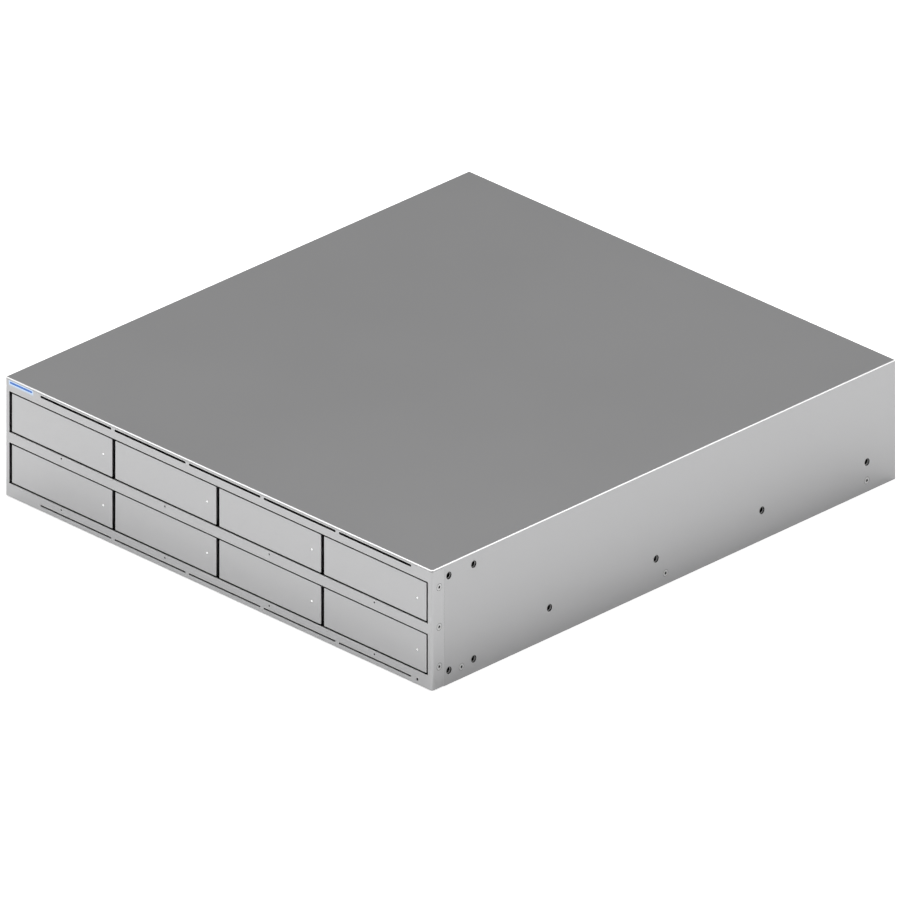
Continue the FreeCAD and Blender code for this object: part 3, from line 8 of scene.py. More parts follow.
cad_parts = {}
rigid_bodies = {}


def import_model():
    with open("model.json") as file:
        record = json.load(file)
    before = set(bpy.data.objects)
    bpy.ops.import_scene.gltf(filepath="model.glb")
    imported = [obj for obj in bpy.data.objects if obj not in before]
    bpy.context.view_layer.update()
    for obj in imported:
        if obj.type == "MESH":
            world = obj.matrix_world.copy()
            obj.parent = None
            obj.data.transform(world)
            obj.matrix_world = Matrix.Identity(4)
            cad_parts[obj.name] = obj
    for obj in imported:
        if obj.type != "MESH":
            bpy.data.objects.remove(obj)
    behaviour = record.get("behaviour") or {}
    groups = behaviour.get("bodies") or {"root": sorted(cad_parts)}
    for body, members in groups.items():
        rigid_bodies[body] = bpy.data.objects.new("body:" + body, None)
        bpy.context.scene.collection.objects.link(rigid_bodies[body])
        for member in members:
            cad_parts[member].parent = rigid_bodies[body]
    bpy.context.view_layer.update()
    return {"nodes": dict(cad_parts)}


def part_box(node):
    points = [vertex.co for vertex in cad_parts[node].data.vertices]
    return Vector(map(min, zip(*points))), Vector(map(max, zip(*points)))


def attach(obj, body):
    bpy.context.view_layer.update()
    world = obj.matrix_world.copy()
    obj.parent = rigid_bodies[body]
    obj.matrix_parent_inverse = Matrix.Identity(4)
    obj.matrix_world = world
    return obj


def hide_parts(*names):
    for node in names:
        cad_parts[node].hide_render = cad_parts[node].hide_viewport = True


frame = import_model()


# Base tray and power bay. The tray is the floor of the case, and the bay a box at its rear for the two
# power modules. Both are zinc-plated sheet steel, folded and left bare, so soft spangles and faint rolling
# lines show on them.
class Socket:
    """A value in a node tree: sums, products and comparisons add Math nodes, make() adds any other node."""

    def __init__(self, tree, output=None):
        self.tree = tree
        self.output = output

    def feed(self, target, value):
        """Link a value to a node's socket, or set that socket to a number or a colour."""
        if isinstance(value, Socket):
            self.tree.links.new(value.output, target)
        else:
            target.default_value = value

    def make(self, kind, settings=None, inputs=None, output=0):
        """Add a node: its settings first, then the values or links of its sockets."""
        node = self.tree.nodes.new(kind)
        for name, setting in (settings or {}).items():
            setattr(node, name, setting)
        for name, value in (inputs or {}).items():
            self.feed(node.inputs[name], value)
        return Socket(self.tree, node.outputs[output])

    def math(self, operation, first, second=0.0):
        return self.make("ShaderNodeMath", {"operation": operation}, {0: first, 1: second})

    def __add__(self, other):
        return self.math("ADD", self, other)

    def __radd__(self, other):
        return self.math("ADD", other, self)

    def __sub__(self, other):
        return self.math("SUBTRACT", self, other)

    def __rsub__(self, other):
        return self.math("SUBTRACT", other, self)

    def __mul__(self, other):
        return self.math("MULTIPLY", self, other)

    def __rmul__(self, other):
        return self.math("MULTIPLY", other, self)

    def __gt__(self, other):
        return self.math("GREATER_THAN", self, other)

    def __lt__(self, other):
        return self.math("LESS_THAN", self, other)

    def __abs__(self):
        return self.math("ABSOLUTE", self)

    def blend(self, first, second):
        """One colour where this value is 0, the other where it is 1."""
        pair = [colour if isinstance(colour, Socket) else (*colour, 1.0) for colour in (first, second)]
        return self.make("ShaderNodeMix", {"data_type": "RGBA"}, {"Factor": self, 6: pair[0], 7: pair[1]}, 2)


def new_material(name, **constants):
    """A material, the start of its node tree and its shader, with the shader's fixed values set."""
    material = bpy.data.materials.new(name)
    material.use_nodes = True
    shader = material.node_tree.nodes["Principled BSDF"]
    start = Socket(material.node_tree)
    link(start, shader, **constants)
    return material, start, shader


def link(start, shader, **values):
    """Set or link a shader's sockets by their names."""
    for name, value in values.items():
        start.feed(shader.inputs[name.replace("_", " ")], value)


def along(start, axis, output="Object"):
    """One coordinate of the place on the part, in metres, or of another vector such as its normal."""
    vector = start.make("ShaderNodeTexCoord", output=output)
    return start.make("ShaderNodeSeparateXYZ", {}, {"Vector": vector}, axis)


def noise(start, scale, detail=2.0, stretch=(1.0, 1.0, 1.0)):
    """Even noise over the solid, in the part's own metres."""
    place = start.make("ShaderNodeTexCoord", output="Object")
    stretched = start.make("ShaderNodeMapping", {}, {"Vector": place, "Scale": stretch})
    return start.make("ShaderNodeTexNoise", {}, {"Vector": stretched, "Scale": scale, "Detail": detail})


def cells(start, scale, settings=None, output="Color"):
    """Cells of a mosaic over the solid: a colour for each, or the distance from its middle."""
    place = start.make("ShaderNodeTexCoord", output="Object")
    return start.make("ShaderNodeTexVoronoi", settings, {"Vector": place, "Scale": scale}, output)


def soft_edges(start, radius, height, strength, distance):
    """A normal that rounds sharp edges and carries a fine surface relief."""
    edge = start.make("ShaderNodeBevel", {"samples": 4}, {"Radius": radius})
    return start.make("ShaderNodeBump", {}, {"Strength": strength, "Distance": distance, "Height": height,
                                             "Normal": edge})


def dress(material, *nodes):
    """Give CAD nodes their material."""
    for name in nodes:
        mesh = frame["nodes"][name].data
        mesh.materials.clear()
        mesh.materials.append(material)


zinc, start, shader = new_material("zinc", Metallic=1.0)
spangle = start.make("ShaderNodeSeparateColor", {}, {"Color": cells(start, 190.0)}, "Red")
lines = noise(start, 260.0, 4.0, (1.0, 0.02, 1.0))
link(start, shader,
     Base_Color=(spangle * 0.55 + lines * 0.45).blend((0.5, 0.51, 0.53), (0.68, 0.69, 0.7)),
     Roughness=0.34 + (spangle - 0.5) * 0.12 + (lines - 0.5) * 0.1,
     Normal=soft_edges(start, 0.0003, lines, 0.1, 0.00004))
dress(zinc, "base_tray", "power_bay")


# Drive cage and trays. The cage is spot-welded sheet steel with runners, in a black electrophoretic coat,
# and the trays are dark anodised aluminium frames that slide on the runners, so the gaps round the doors
# read black.
def coated(name, dark, light, roughness):
    """A thin dark coat over metal, worn a little lighter in clouds."""
    material, start, shader = new_material(name, Metallic=0.35)
    grain = noise(start, 1800.0, 3.0)
    cloud = noise(start, 24.0, 4.0)
    link(start, shader,
         Base_Color=(grain * 0.4 + cloud * 0.6).blend(dark, light),
         Roughness=roughness + (cloud - 0.5) * 0.15 + (grain - 0.5) * 0.1,
         Normal=soft_edges(start, 0.0003, grain, 0.15, 0.00003))
    return material


cage_coat = coated("cage_coat", (0.012, 0.012, 0.012), (0.022, 0.022, 0.022), 0.5)
dress(cage_coat, "drive_cage")
trays = range(1, 9)
tray_coat = coated("tray_coat", (0.02, 0.02, 0.021), (0.035, 0.035, 0.036), 0.42)
dress(tray_coat, *[f"tray_{number}" for number in trays])


# Hard drives. A cast aluminium case with rounded edges under a pressed steel lid: a ring of pan-head
# screws, a step over the discs, a cover over the spindle and a smaller one over the arm's pivot. Each
# drive is screwed into its tray from the sides.
def satin_metal(name, dark, light, roughness, spread, stretch=(1.0, 1.0, 1.0), refine=None):
    """Metal or metal-flake paint with a fine grain and a slow change of sheen.

    A refine function takes the colour and gives it back changed, with how metallic it is.
    """
    material, start, shader = new_material(name)
    grain = noise(start, 1400.0, 3.0, stretch)
    cloud = noise(start, 7.0)
    colour, metal = (grain * 0.7 + cloud * 0.3).blend(dark, light), 1.0
    if refine:
        colour, metal = refine(start, colour)
    link(start, shader, Base_Color=colour, Metallic=metal,
         Roughness=roughness + (grain - 0.5) * spread + (cloud - 0.5) * spread,
         Normal=soft_edges(start, 0.0003, grain, 0.03, 0.00004))
    return material


def rounded_block(shape, low, high, edge, material=0):
    """Add a block with rounded edges between two corners to a shape."""
    low, high = Vector(low), Vector(high)
    before = set(shape.faces)
    size = Matrix.Diagonal((*(high - low), 1.0))
    made = bmesh.ops.create_cube(shape, size=1.0, matrix=Matrix.Translation((low + high) / 2) @ size)
    edges = list({line for corner in made["verts"] for line in corner.link_edges})
    bmesh.ops.bevel(shape, geom=edges, offset=edge, segments=2, profile=0.5, affect="EDGES")
    for face in set(shape.faces) - before:
        face.material_index = material


def rounded_plate(shape, half_x, half_y, corner, low, high, edge, material=0):
    """Add a plate with round corners and a softened upper edge to a shape."""
    before = set(shape.faces)
    outline = []
    for turn, (x, y) in enumerate(((1, 1), (-1, 1), (-1, -1), (1, -1))):
        for step in range(7):
            angle = math.radians(90.0 * turn + 15.0 * step)
            outline.append(shape.verts.new((x * (half_x - corner) + corner * math.cos(angle),
                                            y * (half_y - corner) + corner * math.sin(angle), low)))
    raised = bmesh.ops.extrude_face_region(shape, geom=[shape.faces.new(outline)])["geom"]
    top = [item for item in raised if isinstance(item, bmesh.types.BMVert)]
    bmesh.ops.translate(shape, verts=top, vec=(0.0, 0.0, high - low))
    rim = [item for item in raised if isinstance(item, bmesh.types.BMEdge)]
    bmesh.ops.bevel(shape, geom=rim, offset=edge, segments=2, profile=0.5, affect="EDGES")
    for face in set(shape.faces) - before:
        face.material_index = material


def lathe(shape, profile, around=24, at=Matrix(), material=0):
    """Turn a profile of (radius, height) points about Z and add it to a shape."""
    rings = []
    for radius, height in profile:
        angles = [2.0 * math.pi * step / around for step in range(around if radius > 0.0 else 1)]
        rings.append([shape.verts.new(at @ Vector((radius * math.cos(angle), radius * math.sin(angle), height)))
                      for angle in angles])
    for low, high in zip(rings, rings[1:]):
        for step in range(around):
            corners = (low[step % len(low)], low[(step + 1) % len(low)],
                       high[(step + 1) % len(high)], high[step % len(high)])
            shape.faces.new(dict.fromkeys(corners)).material_index = material


def finished(name, shape, *materials, crease=35.0):
    """A mesh from a shape, smooth apart from edges sharper than the crease."""
    bmesh.ops.recalc_face_normals(shape, faces=shape.faces)
    mesh = bpy.data.meshes.new(name)
    shape.to_mesh(mesh)
    shape.free()
    for material in materials:
        mesh.materials.append(material)
    mesh.shade_smooth()
    mesh.set_sharp_from_angle(angle=math.radians(crease))
    return mesh


def add_piece(name, mesh, body, place, turn=Matrix()):
    """Set a mesh in its place as a piece that moves with a CAD body."""
    piece = bpy.data.objects.new(name, mesh)
    piece.matrix_world = Matrix.Translation(place) @ turn
    bpy.context.scene.collection.objects.link(piece)
    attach(piece, body)
    return piece


casting = satin_metal("casting", (0.3, 0.305, 0.31), (0.46, 0.465, 0.47), 0.5, 0.2)
lid_steel = satin_metal("lid_steel", (0.6, 0.605, 0.61), (0.72, 0.725, 0.73), 0.27, 0.1, (0.03, 1.0, 1.0))
low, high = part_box("drive_1")
half = (high - low) / 2
deck = half.z - 0.001
lid = deck + 0.0004
lid_margin, spindle, pivot = 0.0025, (0.0, -0.02), (-0.034, 0.05)
disc_step = [(0.0455, 0.0), (0.045, 0.0003), (0.017, 0.0003), (0.0165, 0.0001), (0.0095, 0.0001),
             (0.009, 0.0005), (0.0, 0.0005)]
pivot_step = [(0.0095, 0.0), (0.009, 0.0004), (0.003, 0.0004), (0.0028, 0.0002), (0.0, 0.0002)]
pan_head = [(0.0024, 0.0), (0.0023, 0.0004), (0.002, 0.0006), (0.0012, 0.0006), (0.0011, 0.0002), (0.0, 0.0002)]
lid_screws = [(side * x, y) for x, y in ((0.044, -0.067), (0.0455, 0.014), (0.044, 0.067)) for side in (-1, 1)]
shape = bmesh.new()
rounded_block(shape, -half, (half.x, half.y, deck), 0.0012)
rounded_plate(shape, half.x - lid_margin, half.y - lid_margin, 0.006, deck, lid, 0.00015, 1)
lathe(shape, disc_step, 64, Matrix.Translation((*spindle, lid)), 1)
lathe(shape, pivot_step, 32, Matrix.Translation((*pivot, lid)), 1)
for x, y in lid_screws:
    lathe(shape, pan_head, 18, Matrix.Translation((x, y, lid)), 1)
drive_mesh = finished("drive", shape, casting, lid_steel, crease=20.0)
for number in trays:
    low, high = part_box(f"drive_{number}")
    drive = add_piece(f"hard_drive_{number}", drive_mesh, f"tray_{number}", (low + high) / 2)
    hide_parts(f"drive_{number}")

# Boards. The drive backplane, main board, power board, front boards and memory modules are glass-fibre
# boards, etched, tinned and covered with green solder mask: bundles of fine traces that turn in steps,
# bare pads and a slight gloss. The main board is screwed to standoffs on the base tray.
green_mask, start, shader = new_material("green_mask", Coat_Weight=0.3)
turn = start.make("ShaderNodeSeparateColor", {},
                  {"Color": cells(start, 90.0, {"distance": "CHEBYCHEV"})}, "Green")
across = turn > 0.5
trace = start.math("SINE", (along(start, "X") * across + along(start, "Y") * (1.0 - across)) * 5200.0) > 0.35
pads = cells(start, 420.0, output="Distance") < 0.12
link(start, shader,
     Base_Color=pads.blend(trace.blend((0.006, 0.04, 0.018), (0.014, 0.085, 0.035)), (0.55, 0.55, 0.52)),
     Metallic=pads * 0.9,
     Roughness=0.3 + turn * 0.1,
     Normal=soft_edges(start, 0.0001, trace + pads, 0.3, 0.00003))
dress(green_mask, "drive_backplane", "main_board", "power_board", "front_boards", "memory_modules")


# Drive sockets, processor and reset button. Moulded parts of black glass-filled plastic with a fine
# spark-eroded grain. The sockets and the processor are soldered to their boards, and the button slides in
# a switch on one of the front boards.
def moulded(name, dark, light, roughness):
    """Moulded plastic: a fine grain, faint clouds and rounded edges."""
    material, start, shader = new_material(name)
    grain = noise(start, 2600.0, 3.0)
    cloud = noise(start, 40.0)
    link(start, shader,
         Base_Color=(grain * 0.5 + cloud * 0.5).blend(dark, light),
         Roughness=roughness + (grain - 0.5) * 0.2,
         Normal=soft_edges(start, 0.0002, grain, 0.25, 0.00003))
    return material


black_plastic = moulded("black_plastic", (0.012, 0.012, 0.013), (0.03, 0.03, 0.032), 0.42)
dress(black_plastic, "reset_button", "backplane_sockets", "processor")

# Processor heatsink. One length of extruded aluminium with straight fins, sawn off and left bare, with the
# fine draw lines of the die along it. It is clamped on the processor.
extruded = satin_metal("extruded", (0.55, 0.55, 0.56), (0.7, 0.7, 0.71), 0.3, 0.12, (1.0, 0.03, 1.0))
dress(extruded, "processor_heatsink")


# Network jack and fibre cages. Shells of tinned steel sheet, pressed into the main board. The jack's mouth
# is lined with black plastic and has eight gilt springs and two lamps; each cage has a ring of spring
# fingers that touch the rear panel.
def lit_lens(name, body, glow, strength):
    """A tinted lens with a lamp behind it: hazy, a little uneven and glossy."""
    material, start, shader = new_material(name, Roughness=0.3, Coat_Weight=0.1, Emission_Strength=strength)
    haze = noise(start, 160.0)
    link(start, shader,
         Base_Color=haze.blend([0.75 * part for part in body], body),
         Emission_Color=haze.blend([0.75 * part for part in glow], glow))
    return material


def ribbon(shape, path, width, thick, at):
    """Add a bent strip to a shape: its path lies in the YZ plane, its width along X."""
    rings = []
    for index, (y, z) in enumerate(path):
        back, fore = path[max(index - 1, 0)], path[min(index + 1, len(path) - 1)]
        way = Vector((0.0, fore[0] - back[0], fore[1] - back[1])).normalized()
        side = Vector((0.0, -way.z, way.y)) * thick / 2
        rings.append([shape.verts.new(at @ (Vector((width / 2 * edge, y, z)) + side * face))
                      for face, edge in ((-1, -1), (-1, 1), (1, 1), (1, -1))])
    for near, far in zip(rings, rings[1:]):
        for step in range(4):
            shape.faces.new((near[step - 1], near[step], far[step], far[step - 1]))
    shape.faces.new(rings[0])
    shape.faces.new(rings[-1])


low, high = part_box("network_jack")
jack_middle = (low.x + high.x) / 2
mouth_half, mouth_low, mouth_high = 0.00604, 0.00196, 0.0117
port_tin, start, shader = new_material("port_tin")
level = along(start, "Z") - low.z
lining = (abs(along(start, "X") - jack_middle) < mouth_half) * (level > mouth_low) * (level < mouth_high)
lines = noise(start, 700.0, 3.0, (1.0, 0.1, 1.0))
link(start, shader,
     Base_Color=lining.blend(lines.blend((0.55, 0.55, 0.55), (0.72, 0.72, 0.72)), (0.015, 0.015, 0.016)),
     Metallic=1.0 - lining,
     Roughness=0.28 + lining * 0.2 + (lines - 0.5) * 0.15,
     Normal=soft_edges(start, 0.0002, lines, 0.1, 0.00003))
dress(port_tin, "network_jack", "fibre_cages")

gilt = satin_metal("gilt", (0.72, 0.5, 0.18), (0.84, 0.62, 0.27), 0.24, 0.1)
green_lens = lit_lens("green_lens", (0.03, 0.3, 0.08), (0.1, 0.8, 0.2), 0.6)
amber_lens = lit_lens("amber_lens", (0.3, 0.14, 0.02), (0.8, 0.4, 0.05), 0.2)
contact_path = [(-0.0136, 0.0062), (-0.006, 0.0042), (-0.0036, 0.0034), (-0.0026, 0.0028), (-0.0022, 0.0022)]
contact_pitch, contact_width, contact_thick = 0.00102, 0.0004, 0.0002
lens_inner, lens_outer, lens_low, lens_high = 0.0036, 0.0062, 0.0106, 0.0126
shape = bmesh.new()
for number in range(8):
    root = Matrix.Translation(((number - 3.5) * contact_pitch, 0.0, 0.0))
    ribbon(shape, contact_path, contact_width, contact_thick, root)
for side, lens in ((-1, 1), (1, 2)):
    left, right = sorted((side * lens_inner, side * lens_outer))
    rounded_block(shape, (left, -0.0008, lens_low), (right, 0.0002, lens_high), 0.0003, lens)
contacts = finished("jack_contacts", shape, gilt, green_lens, amber_lens)
add_piece("jack_contacts", contacts, "chassis", (jack_middle, high.y, low.z))

low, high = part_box("fibre_cages")
half_width, half_height = 0.0075, (high.z - low.z) / 2
finger_path = [(-0.0001, 0.0), (-0.0002, 0.0004), (-0.0006, 0.0009)]
finger_pitch, finger_width, finger_thick = 0.0026, 0.0018, 0.00015
shape = bmesh.new()
for cage in (low.x + half_width, high.x - half_width):
    for quarter, (reach, count) in enumerate(((half_height, 5), (half_width, 3)) * 2):
        facing = (Matrix.Translation((cage, high.y, low.z + half_height))
                  @ Matrix.Rotation(math.radians(90.0 * quarter), 4, "Y"))
        for finger in range(count):
            root = Matrix.Translation(((finger - (count - 1) / 2) * finger_pitch, 0.0, reach))
            ribbon(shape, finger_path, finger_width, finger_thick, facing @ root)
fingers = finished("cage_fingers", shape, port_tin)
add_piece("cage_fingers", fingers, "chassis", (0.0, 0.0, 0.0))

# Inner cables. Flat ribbons of grey vinyl between the drive backplane, the main board and the power board,
# with a rib for each wire, a little scuffed. Each is plugged in at both ends.
vinyl, start, shader = new_material("vinyl")
wires = start.math("SINE", along(start, "X") * 4900.0)
scuff = noise(start, 120.0)
link(start, shader,
     Base_Color=(scuff * 0.6 + wires * 0.2 + 0.2).blend((0.04, 0.04, 0.042), (0.1, 0.1, 0.105)),
     Roughness=0.45 + (scuff - 0.5) * 0.2,
     Normal=soft_edges(start, 0.0003, wires, 0.5, 0.0002))
dress(vinyl, "inner_cables")


# Fans. Black moulded frames with a bearing tube on four struts, and rotors with a cup-shaped hub and seven
# cambered, twisted blades moulded in one. The case has two large ones, screwed to the rear panel, and each
# power module a small one.
def rotor_shape(hub, tip, depth, blade, reach):
    """A rotor about Y, centred: a cup with a domed front and blades of a thickness and an axial reach."""
    shape = bmesh.new()
    lip = depth / 2
    cup = [(0.0, lip), (hub * 0.82, lip), (hub * 0.95, lip - hub * 0.05), (hub, lip - hub * 0.16), (hub, -lip),
           (hub * 0.9, -lip), (hub * 0.88, lip - hub * 0.2), (0.0, lip - hub * 0.2)]
    lathe(shape, cup, 48, Matrix.Rotation(math.radians(90.0), 4, "X"))
    blades, stations, strips = 7, 8, 10
    root, sweep, twist, lean = hub * 0.97, 0.75, 0.12, 0.22
    for number in range(blades):
        sides = []
        for face in (-0.5, 0.5):
            grid = []
            for station in range(stations + 1):
                share = station / stations
                radius = root + (tip - root) * share
                span = sweep * (1.0 - twist * share)
                lead = 2.0 * math.pi * number / blades + lean * share * share
                line = []
                for strip in range(strips + 1):
                    chord = strip / strips - 0.5
                    bulge = 0.25 - chord * chord
                    thick = face * blade * (0.45 + 2.2 * bulge) * 0.7
                    angle = lead + span * chord + thick / radius
                    y = reach * (chord - 0.35 * bulge) + thick
                    line.append(shape.verts.new((radius * math.cos(angle), y, radius * math.sin(angle))))
                grid.append(line)
            sides.append(grid)
        lower, upper = sides
        for grid in sides:
            for near, far in zip(grid, grid[1:]):
                for strip in range(strips):
                    shape.faces.new((near[strip], near[strip + 1], far[strip + 1], far[strip]))
        rims = [(lower[0], upper[0]), (lower[-1], upper[-1])]
        rims += [([line[end] for line in lower], [line[end] for line in upper]) for end in (0, -1)]
        for first, second in rims:
            for step in range(len(first) - 1):
                shape.faces.new((first[step], first[step + 1], second[step + 1], second[step]))
    return shape


rotor_plastic = moulded("rotor_plastic", (0.014, 0.014, 0.015), (0.034, 0.034, 0.036), 0.38)
dress(rotor_plastic, "fan_frames")
for label, hub, blade in (("fan_rotor", 0.017, 0.0014), ("power_fan_rotor", 0.007, 0.0008)):
    low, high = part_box(f"{label}_1")
    tip, depth = (high.z - low.z) / 2, high.y - low.y
    mesh = finished(label, rotor_shape(hub, tip * 0.985, depth * 0.9, blade, depth * 0.72), rotor_plastic)
    for number in (1, 2):
        low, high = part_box(f"{label}_{number}")
        rotor = add_piece(f"{label}_blades_{number}", mesh, f"{label}_{number}", (low + high) / 2)
        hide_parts(f"{label}_{number}")

# Rear panel. Sheet steel with stamped fan guards, port holes and vent slots, folded at its edges and
# painted in the same satin silver as the cover. It is screwed to the base tray.
panel_paint = satin_metal("panel_paint", (0.5, 0.5, 0.505), (0.57, 0.57, 0.575), 0.38, 0.06)
dress(panel_paint, "rear_panel")

# Power modules. Plated sheet-steel cases that slide out to the rear by a loop handle, whose grip is dipped
# in black vinyl. Pan-head screws close the case, and a green lamp in a ring shows that it works.
module_steel, start, shader = new_material("module_steel")
rear_face, grip_from = 0.2397, 0.2412
grip = along(start, "Y") > grip_from
lines = noise(start, 420.0, 4.0, (1.0, 0.02, 1.0))
grain = noise(start, 1500.0, 3.0)
bare_steel = lines.blend((0.46, 0.46, 0.47), (0.66, 0.66, 0.67))
dipped = grain.blend((0.012, 0.012, 0.012), (0.03, 0.03, 0.03))
link(start, shader,
     Base_Color=grip.blend(bare_steel, dipped),
     Metallic=1.0 - grip,
     Roughness=0.33 + grip * 0.25 + (lines - 0.5) * 0.15,
     Normal=soft_edges(start, 0.0006, lines + grip * grain * 3.0, 0.12, 0.00005))
modules = (1, 2)
dress(module_steel, *[f"power_module_{number}" for number in modules])
facing_rear = Matrix.Rotation(math.radians(-90.0), 4, "X")
lamp_place = Matrix.Translation((0.0365, 0.0, 0.0365)) @ facing_rear
lamp_ring = [(0.0019, 0.0), (0.0019, 0.0003), (0.0017, 0.0005), (0.0013, 0.0005), (0.0012, 0.0001)]
lamp_dome = [(0.0012, 0.0001), (0.0011, 0.0005), (0.0008, 0.0008), (0.0004, 0.00095), (0.0, 0.001)]
case_screws = (0.0045, 0.0038), (0.0045, 0.0362), (0.0355, 0.0038), (0.0695, 0.0038), (0.0695, 0.0362)
shape = bmesh.new()
lathe(shape, lamp_ring, 24, lamp_place)
lathe(shape, lamp_dome, 24, lamp_place, 1)
for x, z in case_screws:
    lathe(shape, pan_head, 18, Matrix.Translation((x, 0.0, z)) @ facing_rear)
trim_mesh = finished("module_trim", shape, lid_steel, green_lens)
for number in modules:
    low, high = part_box(f"power_module_{number}")
    add_piece(f"module_trim_{number}", trim_mesh, f"power_module_{number}",
              (low.x, rear_face, low.z))

# Mains inlets. Sockets moulded in black plastic, snapped into the modules' rear faces, with three flat
# brass pins that stand in the mouth.
inlet_plastic, start, shader = new_material("inlet_plastic")
low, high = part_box("power_inlet_1")
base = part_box("power_inlet_2")[0]
middle_x, middle_z = (low.x + high.x) / 2, (base.z + high.z) / 2
rise = (low.z + high.z) / 2 - middle_z
pin_half, pin_reach, pin_pitch = 0.00106, 0.0041, 0.007
across = abs(along(start, "X") - middle_x)
away = abs(abs(along(start, "Z") - middle_z) - rise)
pin = ((across < pin_half) + (abs(across - pin_pitch) < pin_half)) * (away < pin_reach)
grain = noise(start, 2600.0, 3.0)
link(start, shader,
     Base_Color=pin.blend(grain.blend((0.01, 0.01, 0.011), (0.026, 0.026, 0.028)), (0.72, 0.52, 0.24)),
     Metallic=pin,
     Roughness=0.45 - pin * 0.2 + (grain - 0.5) * 0.15,
     Normal=soft_edges(start, 0.0004, grain, 0.2, 0.00003))
dress(inlet_plastic, *[f"power_inlet_{number}" for number in modules])

# Release levers. Glass-filled nylon in a muted blue, moulded with ridges for the thumb on the pad. Each
# turns on a pin in its module and springs back.
lever_nylon, start, shader = new_material("lever_nylon")
depth, pad_from = along(start, "Y"), 0.2462
ridge = start.math("SINE", depth * 4200.0) * (depth > pad_from)
grain = noise(start, 2200.0, 3.0)
link(start, shader,
     Base_Color=grain.blend((0.02, 0.1, 0.2), (0.035, 0.15, 0.27)),
     Roughness=0.4 + (grain - 0.5) * 0.2,
     Normal=soft_edges(start, 0.0004, ridge + grain * 0.3, 0.5, 0.0002))
dress(lever_nylon, *[f"release_lever_{number}" for number in modules])


# Front fascia and tray doors. Plates of thick aluminium in satin silver, machined with windows, slots and
# pinholes. Their edges carry painted highlights, with a matt white lip, also a painted highlight, where they
# face one way, and their slots, pinholes and gaps are darkened with painted shade. The fascia is screwed to
# the cage through its side flanges; each door turns on a hidden hinge at its left end.
def edge_turn(start, radius):
    """How far a rounded edge would turn the surface: 0 on a flat face, more towards a sharp edge."""
    bent = start.make("ShaderNodeBevel", {"samples": 4}, {"Radius": radius})
    flat = start.make("ShaderNodeNewGeometry", output="Normal")
    return 1.0 - start.make("ShaderNodeVectorMath", {"operation": "DOT_PRODUCT"}, {0: bent, 1: flat}, "Value")


def open_light(start, distance, dark_at, light_at, local=False):
    """0 in a deep recess, 1 where the surface lies open."""
    openness = start.make("ShaderNodeAmbientOcclusion", {"samples": 6, "only_local": local},
                          {"Distance": distance}, "AO")
    return start.make("ShaderNodeMapRange", {}, {"Value": openness, "From Min": dark_at, "From Max": light_at})


def silver_plate(name, front, lip, facing):
    """A plate of thick sheet with painted highlights along its edges, a matt white lip as painted highlight
    where its edges face one way, and painted shade in its recesses.
    """

    def painted_edge_light(start, colour):
        """Painted highlights along the edges, and painted shade the deeper a slot, a pinhole or the gap round a
        door.

        The foot of the plate, near as it is to the floor, gets no painted shade, and the lip's painted
        highlight stops below the upper slots.
        """
        # Painted highlight along the plate's edges.
        painted_edge_highlight = start.math("MINIMUM", edge_turn(start, 0.0006) * 6.0, 1.0).blend(colour, (0.86, 0.86, 0.86))
        level = along(start, "Z")
        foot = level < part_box("front_fascia")[0].z + 0.003
        below_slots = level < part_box("tray_door_1")[1].z + 0.002
        # Painted shade in recesses, left off the foot of the plate.
        lit = start.math("MAXIMUM", open_light(start, 0.002, 0.6, 0.92), foot)
        # Painted highlight: a matt white lip on edges that face one way, below the upper slots.
        painted_lip_highlight = (along(start, facing, "Normal") > 0.9) * (along(start, "Y") < front + lip) * below_slots
        return painted_lip_highlight.blend(lit.blend((0.02, 0.02, 0.02), painted_edge_highlight), (0.9, 0.9, 0.9)), 1.0 - painted_lip_highlight

    return satin_metal(name, (0.615, 0.615, 0.62), (0.645, 0.645, 0.65), 0.32, 0.03, refine=painted_edge_light)


fascia_paint = silver_plate("fascia_paint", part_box("front_fascia")[0].y, 0.0009, "Z")
dress(fascia_paint, "front_fascia")
door_paint = silver_plate("door_paint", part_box("tray_door_1")[0].y, 0.0006, "X")
dress(door_paint, *[f"tray_door_{number}" for number in trays])

# Push marks of the doors. A drop of white enamel fills a shallow dimple near each door's right end and
# shows where to press. It is dropped in wet and sets with a slight dome.
# The enamel also glows a little, a painted brightness, though it is no lamp.
enamel, start, shader = new_material("enamel", Coat_Weight=0.5, Emission_Strength=0.9)
speckle = noise(start, 900.0)
link(start, shader,
     Base_Color=speckle.blend((0.86, 0.86, 0.86), (0.95, 0.95, 0.95)),
     Emission_Color=speckle.blend((0.9, 0.9, 0.9), (1.0, 1.0, 1.0)),
     Roughness=0.3 + speckle * 0.2)
mark_dome = [(0.00075, 0.0), (0.0007, 0.00009), (0.0005, 0.00015), (0.0003, 0.00018), (0.0, 0.00019)]
mark_inset, dimple_depth = 0.00935, 0.0002
shape = bmesh.new()
lathe(shape, mark_dome)
mark_mesh = finished("push_mark", shape, enamel)
facing_front = Matrix.Rotation(math.radians(90.0), 4, "X")
for number in trays:
    low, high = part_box(f"tray_door_{number}")
    dimple = (high.x - mark_inset, low.y + dimple_depth, (low.z + high.z) / 2)
    add_piece(f"push_mark_{number}", mark_mesh, f"tray_door_{number}", dimple, facing_front)


# Status light bar. A guide moulded in clear plastic, pressed into a slot of the fascia and lit blue from
# the front board behind it. Its spill of light on to the paint within two millimetres of it is painted as
# a blue glow of the fascia paint.
def fade(start, value, zero_at, one_at):
    """0 at one end of a stretch and 1 at the other, with a smooth change between them."""
    return start.make("ShaderNodeMapRange", {"interpolation_type": "SMOOTHSTEP"},
                      {"Value": value, "From Min": zero_at, "From Max": one_at})


